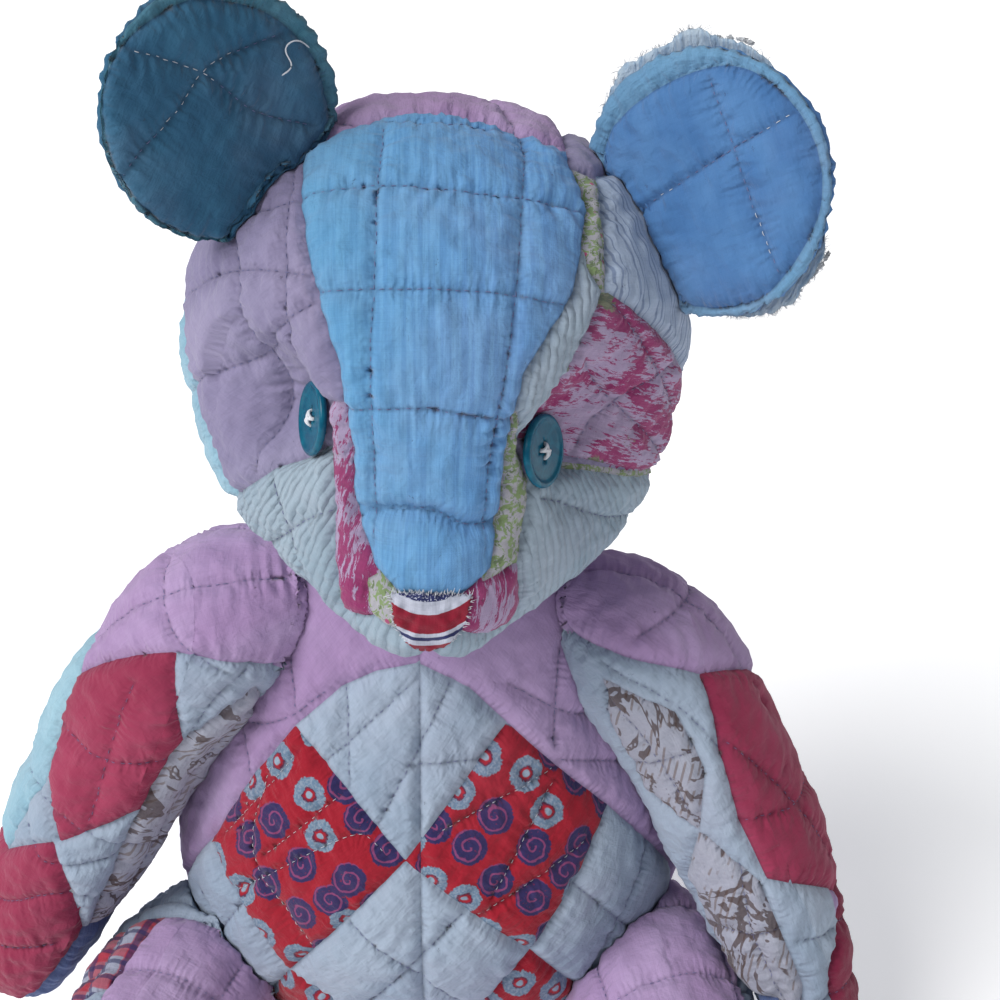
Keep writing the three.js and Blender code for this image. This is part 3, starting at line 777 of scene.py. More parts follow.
# ---------------------------------------------------------------- meshes
def make_mesh(name, points, faces, materials, face_material=None, corners=None, smooth_faces=True,
              sharp=None):
    """A piece from arrays in millimetres. corners holds per-corner attributes."""
    me = bpy.data.meshes.new(name)
    count = len(faces)
    me.vertices.add(len(points))
    me.vertices.foreach_set("co", (np.asarray(points, float) / 1000).ravel())
    me.loops.add(3 * count)
    me.loops.foreach_set("vertex_index", np.asarray(faces, np.int32).ravel())
    me.polygons.add(count)
    me.polygons.foreach_set("loop_start", np.arange(0, 3 * count, 3, dtype=np.int32))
    me.polygons.foreach_set("loop_total", np.full(count, 3, np.int32))
    me.update(calc_edges=True)
    for key, values in (corners or {}).items():
        values = values.reshape(3 * count, -1) if key == "cloth" else values.ravel()
        kind, slot = ("FLOAT_VECTOR", "vector") if values.ndim == 2 else ("FLOAT", "value")
        me.attributes.new(key, kind, "CORNER").data.foreach_set(slot, np.asarray(values, np.float32).ravel())
    if sharp is not None:
        ends = np.empty(2 * len(me.edges), np.int32)
        me.edges.foreach_get("vertices", ends)
        ends, span = np.sort(ends.reshape(-1, 2), axis=1).astype(np.int64), len(points)
        marked = np.isin(ends[:, 0] * span + ends[:, 1], sharp.min(1) * span + sharp.max(1))
        me.attributes.new("sharp_edge", "BOOLEAN", "EDGE").data.foreach_set("value", marked)
    for material in materials:
        me.materials.append(material)
    if face_material is not None:
        me.polygons.foreach_set("material_index", np.asarray(face_material, np.int32))
    me.polygons.foreach_set("use_smooth", np.full(count, smooth_faces))
    me.update()
    piece = bpy.data.objects.new(name, me)
    bpy.context.scene.collection.objects.link(piece)
    return piece


def settle(piece, slot, nodes=()):
    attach(piece, "root")
    if nodes:
        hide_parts(*nodes)
    return piece


def cut_by_label(points, plan, faces, label):
    """Splits triangles where the label changes. Returns points, plan, faces, face labels,
    and the seams: their segments and the labels on both sides."""
    tag = label(plan)
    tri = tag[faces]
    same = (tri[:, 0] == tri[:, 1]) & (tri[:, 1] == tri[:, 2])
    out_faces, out_tags = [faces[same]], [tri[same, 0]]
    mixed = faces[~same]
    edges = np.unique(np.sort(mixed[:, [0, 1, 1, 2, 2, 0]].reshape(-1, 2), axis=1), axis=0)
    edges = edges[tag[edges[:, 0]] != tag[edges[:, 1]]]
    a, b = edges.T
    low, high = np.zeros(len(edges)), np.ones(len(edges))
    for _ in range(12):
        t = (low + high) / 2
        own = label(plan[a] + (plan[b] - plan[a]) * t[:, None]) == tag[a]
        low, high = np.where(own, t, low), np.where(own, high, t)
    t = np.clip((low + high) / 2, 0.06, 0.94)[:, None]
    first = len(points)
    points = np.concatenate([points, points[a] + (points[b] - points[a]) * t])
    plan = np.concatenate([plan, plan[a] + (plan[b] - plan[a]) * t])
    where = {(int(i), int(j)): first + k for k, (i, j) in enumerate(edges)}
    new_faces, new_tags, seams, sides, extra, extra_plan = [], [], [], [], [], []
    for face in mixed:
        tags = [int(tag[i]) for i in face]
        mids = [where.get(tuple(sorted((int(face[k]), int(face[(k + 1) % 3]))))) for k in range(3)]
        if None in mids:
            k = mids.index(None)  # the two ends of this edge agree
            odd, m0, m1 = int(face[(k + 2) % 3]), mids[(k + 1) % 3], mids[(k + 2) % 3]
            i, j = int(face[k]), int(face[(k + 1) % 3])
            new_faces += [(odd, m1, m0), (i, j, m0), (i, m0, m1)]
            new_tags += [tags[(k + 2) % 3], tags[k], tags[k]]
            seams.append((m0, m1))
            sides.append((tags[k], tags[(k + 2) % 3]))
        else:
            centre = len(points) + len(extra)
            extra.append(points[mids].mean(0))
            extra_plan.append(plan[mids].mean(0))
            for k in range(3):
                new_faces += [(int(face[k]), mids[k], centre), (int(face[k]), centre, mids[(k + 2) % 3])]
                new_tags += [tags[k], tags[k]]
                seams.append((mids[k], centre))
                sides.append((tags[k], tags[(k + 1) % 3]))
    if extra:
        points, plan = np.concatenate([points, extra]), np.concatenate([plan, extra_plan])
    out_faces.append(np.array(new_faces, int).reshape(-1, 3))
    out_tags.append(np.array(new_tags, int))
    seams = np.array(seams, int).reshape(-1, 2), np.array(sides, int).reshape(-1, 2)
    return points, plan, np.concatenate(out_faces), np.concatenate(out_tags), seams


def lines_on(points, plane, masks, lines, step=1.4):
    """Traces lines, given in a plane, over a form's points. Each sample keeps its four nearest points."""
    traced = []
    usable = np.nonzero(masks)[0]
    near = Near(np.column_stack([plane[usable], np.zeros(len(usable))]))
    for line in lines:
        line = np.array(line, float)
        if len(line) > 2:
            t = np.arange(len(line))
            fine = np.linspace(0, len(line) - 1, 6 * len(line))
            line = np.stack([spline(fine, t, line[:, i]) for i in range(2)], 1)
        run = run_of(line)
        at = np.arange(0, run[-1], step)
        spots = np.stack([np.interp(at, run, line[:, i]) for i in range(2)], 1)
        index, weight = [], []
        for x, y in spots:
            found = near.tree.find_n((x, y, 0), 4)
            index.append([usable[i] for _, i, _ in found])
            w = np.array([1 / (d * d + 0.1) for _, _, d in found])
            weight.append(w / w.sum())
        traced.append((np.array(index), np.array(weight)))
    return traced


def spline(x, xp, fp):
    """A smooth curve through points, at x."""
    slope = np.gradient(fp, xp)
    i = np.clip(np.searchsorted(xp, x, side="right") - 1, 0, len(xp) - 2)
    h = xp[i + 1] - xp[i]
    t = (x - xp[i]) / h
    return ((2 * t**3 - 3 * t**2 + 1) * fp[i] + (t**3 - 2 * t**2 + t) * h * slope[i]
            + (-2 * t**3 + 3 * t**2) * fp[i + 1] + (t**3 - t**2) * h * slope[i + 1])


def softened(p):
    """A line with its small corners smoothed away."""
    for _ in range(3):
        q = np.concatenate([p[:1], p, p[-1:]])
        p = (q[:-2] + 2 * q[1:-1] + q[2:]) / 4
    return p


def along(points, trace):
    """The traced line on the given points, smoothed."""
    index, weight = trace
    return softened((points[index] * weight[:, :, None]).sum(1))


def chained(segments):
    """Orders loose segments into lines. Each is a list of point numbers."""
    links = {}
    for a, b in segments.tolist():
        links.setdefault(a, []).append(b)
        links.setdefault(b, []).append(a)
    walked, lines = set(), []
    starts = [a for a, others in links.items() if len(others) != 2] + list(links)
    for start in starts:
        for step in links[start]:
            if frozenset((start, step)) in walked:
                continue
            line = [start, step]
            walked.add(frozenset(line))
            while len(links[line[-1]]) == 2:
                onward = [i for i in links[line[-1]] if frozenset((line[-1], i)) not in walked]
                if not onward:
                    break
                walked.add(frozenset((line[-1], onward[0])))
                line.append(onward[0])
            if len(line) > 3:
                lines.append(line)
    return lines


def line_field(points, lines):
    """For each point: the nearest spot on a line, its distance, and how far along that line it lies."""
    if not lines:
        return points, np.full(len(points), 99.0), np.zeros(len(points))
    tangents, runs = [], []
    for k, p in enumerate(lines):
        tangents.append(unit(np.gradient(p, axis=0)))
        runs.append(40.0 * k + run_of(p))
    centres, tangents, runs = np.concatenate(lines), np.concatenate(tangents), np.concatenate(runs)
    index = Near(centres).index(points)
    lengthwise = np.clip(((points - centres[index]) * tangents[index]).sum(1), -1.4, 1.4)
    spot = centres[index] + tangents[index] * lengthwise[:, None]
    return spot, np.linalg.norm(points - spot, axis=1), runs[index] + lengthwise


def eased(points, faces, weight, rounds=6):
    """Evens out the points by weight, 0 to 1, towards the middle of their neighbours."""
    for _ in range(rounds):
        total, count = np.zeros_like(points), np.zeros(len(points))
        for i, j in ((0, 1), (1, 2), (2, 0)):
            np.add.at(total, faces[:, i], points[faces[:, j]])
            np.add.at(count, faces[:, i], 1)
        points = points + (total / count[:, None] - points) * weight[:, None]
    return points


def held_by(moved, free):
    """How far each point is held still by a neighbour, 0 to 1: all the way where it was moved by 4 mm."""
    return smooth(np.linalg.norm(moved - free, axis=1), 0.5, 4)


def touching(count, faces, chosen):
    """Which points belong to the chosen faces."""
    out = np.zeros(count, bool)
    out[faces[chosen].ravel()] = True
    return out


def quilted(points, faces, seams, traces, puff=2.6, seam_depth=2.0, line_depth=1.2, pucker=0.8, lumps=1.1,
            held=0.0, seed=1):
    """Presses seams and quilting lines into a form, and puffs the cloth up between them.

    held is what held_by gives. Returns the new points, the form's normals, and in between three values for
    each point: how far the nearest seam or line is, the way along it, and how much the cloth gathers there.
    """
    out = normals_of(points, faces)
    size = np.linalg.norm(points[faces[:, 0]] - points[faces[:, 1]], axis=1).mean()
    _, d_seam, phase_seam = line_field(points, [softened(points[line]) for line in chained(seams)])
    drawn = [p for p in (along(points, trace) for trace in traces) if len(p) > 3]
    spot, d_line, phase_line = line_field(points, drawn)
    # points beside a line move onto it, to crease the cloth along it
    snap = (d_line < 0.5 * size) & (d_seam > size)
    points = np.where(snap[:, None], spot, points)
    d_line = np.where(snap, 0, d_line)
    d = np.minimum(d_seam, d_line)
    phase = np.where(d_seam < d_line, phase_seam, phase_line)
    wobble = waves(points, 26, seed=seed + 5) * 2.2
    rise = puff * (1 - np.exp(-d / PUFF_REACH)) - seam_depth * np.exp(-((d_seam / SEAM_HALF) ** 2)) \
        - line_depth * np.exp(-((d_line / LINE_HALF) ** 2)) - 0.9
    gather = np.cos(phase * 2 * np.pi / PUCKER_PITCH + wobble) * np.exp(-d / 8) * np.clip(d / 2.0, 0, 1)
    rise += pucker * gather * (1 + 0.6 * waves(points, 34, seed=seed + 9))
    rise += lumps * waves(points, 70, seed=seed + 1) * 0.8
    crease = np.abs(waves(points, 24, seed=seed + 2, stretch=(1, 1, 1.3)))
    rise += 0.6 * lumps * (0.45 - crease) + 0.4 * lumps * waves(points, 10, seed=seed + 3)
    across = phase[faces]
    # no gathers where the nearest line changes, because the way along it jumps there
    jumps = touching(len(points), faces, across.max(1) - across.min(1) > 2.4 * size)
    gathered = np.where(jumps, 0, np.exp(-d / 6))
    return points + out * (rise * (1 - held))[:, None], np.stack([d, phase, gathered], 1), out


def shell(name, points, base, base_normals, faces, tags, section, fabric_of, cloth_of, seam_field, lining):
    """A closed quilted panel: its outside, its lining and the turned-in hem between them."""
    pick = tags // 100 == section
    own_faces, own_tags = faces[pick], tags[pick]
    used, local = np.unique(own_faces, return_inverse=True)
    local = local.reshape(-1, 3)
    outer = points[used].copy()
    inner = base[used] - base_normals[used] * lining
    count = len(used)
    rim = rim_of(local, count)
    centroid, hits = np.zeros_like(outer), np.zeros(count)
    middle = outer[local].mean(1)
    for i in range(3):
        np.add.at(centroid, local[:, i], middle)
        np.add.at(hits, local[:, i], 1)
    edge = np.unique(rim)
    shift = unit(centroid[edge] / hits[edge, None] - outer[edge]) * HEM
    outer[edge] += shift
    inner[edge] += shift * 2
    owner = {}
    for f, (i, j, k) in enumerate(local):
        owner[(i, j)] = owner[(j, k)] = owner[(k, i)] = f
    wall_tags = own_tags[[owner[(i, j)] for i, j in rim]] if len(rim) else np.zeros(0, int)
    all_faces = lined(local, rim, count)
    all_tags = np.concatenate([own_tags, own_tags, wall_tags, wall_tags])
    names = sorted({fabric_of(t) for t in np.unique(all_tags)})
    face_material = np.array([names.index(fabric_of(t)) for t in all_tags])
    source = np.concatenate([used, used])[all_faces]
    cloth = np.zeros((len(all_faces), 3, 3))
    for t in np.unique(all_tags):
        rows = all_tags == t
        cloth[rows] = cloth_of(t, source[rows])
    corners = {"cloth": cloth.reshape(-1, 3), "seam": seam_field[source, 0], "phase": seam_field[source, 1],
               "gather": seam_field[source, 2]}
    return make_mesh(name, np.concatenate([outer, inner]), all_faces, [FABRICS[f] for f in names],
                     face_material, corners, sharp=np.concatenate([rim, rim + count]))


def panels(nodes, points, base, faces, tags, fabric_of, cloth_of, seam_field, lining=LINING):
    """A form's quilted panels. nodes gives each one's section, the hundreds of its tags, and its slot."""
    base_normals = normals_of(base, faces)
    for node, (section, slot) in nodes.items():
        piece = shell("quilt_" + node, points, base, base_normals, faces, tags, section, fabric_of, cloth_of,
                      seam_field, lining)
        settle(piece, slot, [node])


def plain_cloth(cloth):
    """Corner values for a piece without seams of its own."""
    return {"cloth": cloth, "seam": np.full(len(cloth), 9.0), "phase": np.zeros(len(cloth)),
            "gather": np.zeros(len(cloth))}


def clear_of(centre, cover):
    """A function that moves points which lie inside a round form's cover straight out of it, by a gap."""
    near, radii = Near(unit(cover - centre)), np.linalg.norm(cover - centre, axis=1)

    def push(points, gap):
        q = points - centre
        far = np.linalg.norm(q, axis=1)
        check = np.nonzero(far < radii.max() + gap)[0]
        if not len(check):
            return points
        limit = near.blend(unit(q[check]), radii, 3) + gap
        inside = far[check] < limit
        points, rows = points.copy(), check[inside]
        points[rows] = centre + unit(q[rows]) * limit[inside][:, None]
        return points

    return push


def push_out_of(points, tree, gap, within=30):
    """Moves points that lie inside a closed form to its nearest surface."""
    points = points.copy()
    for i, p in enumerate(points):
        hit, normal, _, away = tree.find_nearest(Vector(p), within)
        if hit is None:
            continue
        behind = (Vector(p) - hit).dot(normal)
        if behind < gap * 0.9:
            if behind < 0 or away < gap:
                points[i] = np.array(hit + normal * gap)
    return points


def stuffing(name, points, faces, node):
    settle(make_mesh(name, points, facing_out(points, faces), [BATTING]), "batting", [node])


# ---------------------------------------------------------------- stitches
def tube(path, radius, sides=5, ends=0.5):
    """Points and faces of a closed round cord along a path."""
    path = np.asarray(path, float)
    tangent = unit(np.gradient(path, axis=0))
    helper = np.where(np.abs(tangent[:, 2:3]) < 0.8, [[0, 0, 1.0]], [[1.0, 0, 0]])
    u = unit(np.cross(tangent, helper))
    v = np.cross(tangent, u)
    angle = np.arange(sides) * 2 * np.pi / sides
    width = np.full(len(path), radius)
    width[[0, -1]] *= ends
    ring = (path[:, None] + width[:, None, None] * (np.cos(angle)[None, :, None] * u[:, None]
                                                    + np.sin(angle)[None, :, None] * v[:, None]))
    points = np.concatenate([ring.reshape(-1, 3), path[:1], path[-1:]])
    n, rows = len(path) * sides, len(path)
    j, k = np.arange(sides), (np.arange(sides) + 1) % sides
    last = (rows - 1) * sides
    faces = [np.stack([0 * j + n, k, j], 1), np.stack([0 * j + n + 1, last + j, last + k], 1)]
    for i in range(rows - 1):
        a, b = i * sides, (i + 1) * sides
        faces += [np.stack([a + j, a + k, b + k], 1), np.stack([a + j, b + k, b + j], 1)]
    return points, np.concatenate(faces)


def joined(parts):
    points, faces, first = [], [], 0
    for p, f in parts:
        points.append(p)
        faces.append(f + first)
        first += len(p)
    return np.concatenate(points), np.concatenate(faces)


def running_stitches(points, normals, traces, pitch=3.7, length=2.3, radius=0.15, pale=None, seed=3):
    """Short stitches that dip in and out of the cloth along traced lines, and which of them are white; the
    rest are dark, partly with painted groove shade.
    """
    r = np.random.default_rng(seed)
    parts, white = [], []
    for trace in traces:
        p = along(points, trace)
        if len(p) < 6:
            continue
        nrm = unit(along(normals, trace))
        run = run_of(p)
        start = 1.0
        while start + length < run[-1]:
            size = length * r.uniform(0.75, 1.15)
            s = start + np.array([0, 0.3, 0.7, 1]) * size
            q = np.stack([np.interp(s, run, p[:, i]) for i in range(3)], 1)
            m = np.stack([np.interp(s, run, nrm[:, i]) for i in range(3)], 1)
            lift = np.array([-0.3, 0.22, 0.22, -0.3])
            side = unit(np.cross(m, unit(np.gradient(q, axis=0)))) * r.uniform(-0.25, 0.25)
            parts.append(tube(q + m * lift[:, None] + side, radius, 4))
            white.append(pale is not None and pale[trace[0][np.searchsorted(run, start), 0]])
            start += pitch * r.uniform(0.85, 1.2)
    return parts, np.array(white, bool)


def sew(name, parts, white=None):
    """A piece of thread. Without a list of which parts are white, all are."""
    points, faces = joined(parts)
    shade = None if white is None else np.repeat(white.astype(int), [len(f) for _, f in parts])
    piece = make_mesh(name, points, faces, [THREAD] if white is None else [THREAD_DARK_AND_SHADED, THREAD], shade)
    return settle(piece, "white_thread")


def turned_by(x, y, degrees):
    g = math.radians(degrees)
    return x * math.cos(g) - y * math.sin(g), x * math.sin(g) + y * math.cos(g)


def azimuthal(q, centre, grain, radius):
    """Flat cloth coordinates round a patch's middle."""
    c = unit(centre)
    up = np.array([0, 0, 1.0]) if abs(c[2]) < 0.9 else np.array([0, 1.0, 0])
    e1 = unit(np.cross(up, c))
    e2 = np.cross(c, e1)
    d = unit(q)
    theta = np.arccos(np.clip(d @ c, -1, 1)) * radius
    x, y = d @ e1, d @ e2
    r = np.maximum(np.hypot(x, y), 1e-9)
    x, y = x / r * theta, y / r * theta
    return turned_by(x, y, grain)


SPHERE_LEVEL = 7

# ---------------------------------------------------------------- torso
sphere, sphere_faces = icosphere(SPHERE_LEVEL)
body_centre = np.array(BODY["centre"], float)


def body_points(d, grow=0.0):
    p = d * (reach(d, BODY) + grow)[:, None] + body_centre
    p[:, 2] = np.maximum(p[:, 2], -grow)
    return p


def body_label(q):
    p = q + body_centre
    front = p @ np.array(SIDE_SEAM) / np.linalg.norm(SIDE_SEAM) > SIDE_SEAM_OFFSET
    patch = patch_label(body_map.flat(q), BODY_PATCHES)
    left = p[:, 0] > CENTRE_SEAM_X
    return np.where(front, np.where(left, 100, 200) + patch, 0)


base = body_points(sphere)
plan = sphere * reach(sphere, BODY)[:, None]
base, plan, faces, tags, seams = cut_by_label(base, plan, facing_out(base, sphere_faces), body_label)
toward = plan @ np.array([0, -0.866, 0.5])
traces = lines_on(base, body_map.flat(plan), toward > -70, [body_map.seen(l) for l in BODY_LINES])
back_lines = [[(x, 20), (x * 1.05, 120), (x * 0.8, 280)] for x in (-84, -28, 28, 84)] \
    + [[(-118, z), (0, z + 4), (118, z)] for z in (40, 96, 152, 208)]
traces += lines_on(base, np.column_stack([base[:, 0] + 5, base[:, 2]]), (base[:, 1] > -10), back_lines)
body, body_seam, body_normals = quilted(base, faces, seams[0], traces, seed=20)
body[:, 2] = np.maximum(body[:, 2], 0.0)
off_body = clear_of(body_centre, body)


# Patches that are laid flat about another spot than their own middle.
PATCH_MIDDLES = dict(ticking=direction(86, 25), cheek_floral=direction(55, 23))


def round_cloth(plan_points, patches, radius=110):
    """A function that lays each patch of a round form flat about its own middle."""
    middles = {}

    def cloth_of(tag, index):
        patch = patches[tag % 100] if tag >= 100 else dict(grain=0)
        if tag not in middles:
            middles[tag] = PATCH_MIDDLES.get(patch.get("name"), plan_points[np.unique(index)].mean(0))
        q = plan_points[index.reshape(-1)]
        x, y = azimuthal(q, middles[tag], patch["grain"], radius)
        return np.stack([x, y, np.full(len(x), 7.3 * (tag % 97))], 1).reshape(*index.shape, 3)

    return cloth_of


def body_fabric(tag):
    return BODY_PATCHES[tag % 100]["fabric"] if tag >= 100 else "mauve"


panels(dict(body_front_left=(1, "red_print"), body_front_right=(2, "red_print"),
            body_back=(0, "mauve_cotton")),
       body, base, faces, tags, body_fabric, round_cloth(plan, BODY_PATCHES), body_seam)
prints = [i for i, patch in enumerate(BODY_PATCHES) if patch["fabric"] == "print"]
printed = touching(len(body), faces, np.isin(tags % 100, prints) & (tags >= 100))
sew("quilting_body", *running_stitches(body, body_normals, traces, pale=printed, seed=31))
small, small_faces = icosphere(5)
core = body_points(small, -LINING - 1.4)
hollows = unit(core - body_centre) * np.minimum(0, waves(core, 30, seed=4) - 1)[:, None] * 0.8
stuffing("wadding_body", core + hollows, small_faces, "body_stuffing")

# ---------------------------------------------------------------- head
head_centre = np.array(HEAD["centre"], float)
head_turn = turn("x", HEAD_NOD) @ turn("y", HEAD_ROLL)


def in_head(q):
    return q @ head_turn.T + head_centre


gusset_outline = [(l, v) for l, r, v in GUSSET] + [(r, v) for l, r, v in GUSSET[::-1]]


def head_label(q):
    seen = np.column_stack([q[:, 0], q @ VIEW_UP])
    deep = q @ VIEW_LINE
    strip = inside_outline(seen, gusset_outline)
    patch = patch_label(head_map.flat(q), HEAD_PATCHES)
    side = np.where(q[:, 0] > 0, 300, 400) + patch
    return np.where(strip, np.where(deep > CROWN_DEPTH, 100, 200), side)


def button_axes(eye):
    toward_eye, out = direction(*eye["at"]), direction(*eye["faces"])
    across = unit(np.cross([0, 0, 1], out))
    place = toward_eye * reach(toward_eye[None], HEAD)[0] - out * BUTTON_SUNK
    return place, across, np.cross(out, across), out


def press_buttons(q, under=0.5, spread=26, rise=30, blend=4):
    """The face gives way round each button: to a depth under it, and up a slope of that spread and rise."""
    for eye in EYES.values():
        place, _, _, out = button_axes(eye)
        rel = q - place
        high = rel @ out
        away = np.linalg.norm(rel - high[:, None] * out, axis=1)
        over = high + under - rise * smooth(away, BUTTON_RADIUS - 2, BUTTON_RADIUS + spread)
        drop = np.where(over > blend, over, np.maximum(over + blend, 0) ** 2 / (4 * blend))
        drop[(high > 40) | (away > BUTTON_RADIUS + spread)] = 0
        q = q - drop[:, None] * out
    return q


head_reach = reach(sphere, HEAD)
plan = sphere * head_reach[:, None]
start = off_body(in_head(press_buttons(plan)), COVER_GAP)
base, plan, faces, tags, seams = cut_by_label(start, plan, facing_out(start, sphere_faces), head_label)
seen = np.column_stack([plan[:, 0], plan @ VIEW_UP])
traces = lines_on(base, head_map.flat(plan), plan @ VIEW_LINE > -60, [head_map.seen(l) for l in HEAD_LINES])
behind = [[(x * 0.8, 70), (x, 20), (x * 0.9, -60)] for x in (-60, -20, 20, 60)] \
    + [[(-90, z), (0, z + 3), (90, z)] for z in (-40, 5, 50)]
traces += lines_on(base, plan[:, [0, 2]], plan[:, 1] > 20, behind)
held = held_by(base, in_head(press_buttons(plan)))
head, head_seam, head_normals = quilted(base, faces, seams[0], traces, held=held, seed=40)
# the bridge of the snout sinks into a crease above the tip
x, v = seen.T
crease = v - np.interp(x, [-31, -20, 0, 14, 28], [-73, -71, -71, -76, -74])
on_bridge = smooth(-np.abs(x + 2), -34, -24) * (plan @ VIEW_LINE > 30)
sag = (3.0 * np.exp(-((crease / 2.8) ** 2)) - 1.1 * np.exp(-(((crease - 8) / 5) ** 2))
       - 1.3 * np.exp(-(((crease + 8) / 5) ** 2))) * on_bridge
head -= head_normals * sag[:, None]
local = (head - head_centre) @ head_turn
pressed = press_buttons(local, 0.5, 9, 12, 0.01)
head = off_body(in_head(pressed), TOUCH_GAP)
off_head = clear_of(head_centre, head)


def head_fabric(tag):
    if tag == 100:
        return "chambray"
    return "mauve" if tag == 200 else HEAD_PATCHES[tag % 100]["fabric"]


panels(dict(head_gusset=(1, "blue_chambray"), head_back=(2, "mauve_cotton"),
            head_side_left=(3, "floral_cotton"), head_side_right=(4, "mauve_cotton")),
       head, base, faces, tags, head_fabric, round_cloth(plan, HEAD_PATCHES, 100), head_seam)
sew("quilting_head", *running_stitches(head, head_normals, traces, seed=32))
core = in_head(press_buttons(small * (reach(small, HEAD) - LINING - 2)[:, None], HEAD_CORE_GAP))
stuffing("wadding_head", off_body(core, HEAD_CORE_GAP), small_faces, "head_stuffing")

# ---------------------------------------------------------------- nose patch
def on_head(spots):
    """Points on the head's cover, from points as seen along the pattern's line."""
    starts = [in_head(np.array([x, 0, 0]) + v * VIEW_UP + IN_FRONT * VIEW_LINE) for x, v in spots]
    back = Vector(head_turn @ -VIEW_LINE)
    return np.array([np.array(head_tree.ray_cast(Vector(start), back)[0]) for start in starts])


head_tree = BVHTree.FromPolygons([Vector(p) for p in head], faces.tolist())
columns, rows = 44, 40
heights, to_left, to_right = np.array(NOSE).T
v = np.linspace(NOSE[0][0], NOSE_TOP, rows)
across = np.linspace(-1, 1, columns)[None]
half = np.where(across > 0, np.interp(v, heights, to_left)[:, None], np.interp(v, heights, to_right)[:, None])
spot_x = across * half + 0.5
spot_v = np.repeat(v[:, None], columns, 1)
spread = np.column_stack([spot_x.ravel() * 3, spot_v.ravel() * 3, 0 * spot_x.ravel()])
ragged = 0.45 * waves(spread, 5, seed=8).reshape(spot_x.shape)
rim_weight = np.maximum(np.abs(across) ** 8, smooth(v, NOSE_TOP - 2.7, NOSE_TOP - 0.2)[:, None])
spot_x = spot_x + ragged * rim_weight
spot_v = spot_v + ragged[:, ::-1] * rim_weight
spots = np.column_stack([spot_x.ravel(), spot_v.ravel()])
top = on_head(spots)
for _ in range(6):  # the patch is stiffer than the cover beneath it
    g = top.reshape(rows, columns, 3)
    g[1:-1, 1:-1] = (g[:-2, 1:-1] + g[2:, 1:-1] + g[1:-1, :-2] + g[1:-1, 2:]) / 4
    top = g.reshape(-1, 3)
face_out = head_turn @ VIEW_LINE
hem_in = np.maximum(np.abs(np.tile(across[0], rows)) ** 6,
                    smooth(np.abs(np.repeat(v, columns) - NOSE_MIDDLE), 9, 11.5))
rumple = 0.5 * waves(np.column_stack([spots * 2.2, 0 * spots[:, :1]]), 12, seed=6)
upper = top + face_out * (NOSE_FACE - 1.0 * hem_in + rumple)[:, None]
lower = top + face_out * (NOSE_LINING - 0.5 * hem_in + 0.4 * rumple)[:, None]
i, j = np.meshgrid(np.arange(rows - 1), np.arange(columns - 1), indexing="ij")
corner = (i * columns + j).ravel()
grid = np.concatenate([np.stack([corner, corner + 1, corner + columns + 1], 1),
                       np.stack([corner, corner + columns + 1, corner + columns], 1)])
count = rows * columns
patch_points = np.concatenate([upper, lower])
patch_faces = facing_out(patch_points, lined(grid, rim_of(grid, count), count))
cloth = np.column_stack([spots[:, 0], spots[:, 1] + 113 - 0.05 * spots[:, 0] ** 2 * 0.5, 0 * spots[:, 0]])
cloth = np.concatenate([cloth, cloth])[patch_faces].reshape(-1, 3)
piece = make_mesh("patch_nose", patch_points, patch_faces, [FABRICS["nose"]], None, plain_cloth(cloth))
settle(piece, "striped_cloth", ["nose_patch"])

# frayed threads along the patch's top and sides
parts = []
frayed = [((rows - 1) * columns + k, (0, 1)) for k in range(columns)] \
    + [(k * columns + end, (way, 0)) for end, way in ((columns - 1, 1), (0, -1)) for k in range(8, rows, 2)]
for at, way in frayed:
    for _ in range(2):
        size = rng.uniform(0.4, 1.7)
        lean = rng.uniform(-0.8, 0.8, 2)
        steps = np.linspace(-0.4, 1, 4)[:, None]
        path = spots[at] + steps * size * (np.array(way) + lean * 0.7)
        lift = np.array([1.3, 1.5, 1.5, rng.uniform(0.8, 2.2)])[:, None]
        parts.append(tube(on_head(path) + face_out * lift, 0.13, 4))
sew("frayed_threads_nose", parts)

# ---------------------------------------------------------------- button eyes
def hole_at(k):
    """The middle of one of a button's four holes."""
    angle = k * math.pi / 2 + math.pi / 4
    return HOLE_RING * math.cos(angle), HOLE_RING * math.sin(angle)


def button_mesh(place, across, up, out, sides=72):
    """A turned disc, drilled with four holes."""
    bm = bmesh.new()
    turns = [2 * math.pi * k / sides for k in range(sides)]
    rings = [[bm.verts.new((r * math.cos(a), r * math.sin(a), h)) for a in (turns if r else [0])]
             for r, h in BUTTON_PROFILE]
    for a, b in zip(rings, rings[1:]):
        for k in range(sides):
            m = (k + 1) % sides
            corners = [a[k % len(a)], b[k % len(b)], b[m % len(b)], a[m % len(a)]]
            bm.faces.new(list(dict.fromkeys(corners)))  # a ring of one point makes triangles
    bmesh.ops.recalc_face_normals(bm, faces=bm.faces)
    disc = bpy.data.meshes.new("button")
    bm.to_mesh(disc)
    bm.free()
    drill = bmesh.new()
    for k in range(4):
        made = bmesh.ops.create_cone(drill, cap_ends=True, segments=20, radius1=HOLE_RADIUS,
                                     radius2=HOLE_RADIUS, depth=12)
        bmesh.ops.translate(drill, verts=made["verts"], vec=(*hole_at(k), 2))
    holes = bpy.data.meshes.new("holes")
    drill.to_mesh(holes)
    drill.free()
    whole, tool = (bpy.data.objects.new(m.name, m) for m in (disc, holes))
    for o in (whole, tool):
        bpy.context.scene.collection.objects.link(o)
    drilled = whole.modifiers.new("holes", "BOOLEAN")
    drilled.object, drilled.operation, drilled.solver = tool, "DIFFERENCE", "EXACT"
    bpy.context.view_layer.update()
    result = bpy.data.meshes.new_from_object(whole.evaluated_get(bpy.context.evaluated_depsgraph_get()))
    for o in (whole, tool):
        bpy.data.objects.remove(o)
    bm = bmesh.new()
    bm.from_mesh(result)
    bmesh.ops.triangulate(bm, faces=bm.faces)
    points = np.array([v.co for v in bm.verts])
    tris = np.array([[v.index for v in f.verts] for f in bm.faces])
    bm.free()
    return place + points @ np.array([across, up, out]), tris


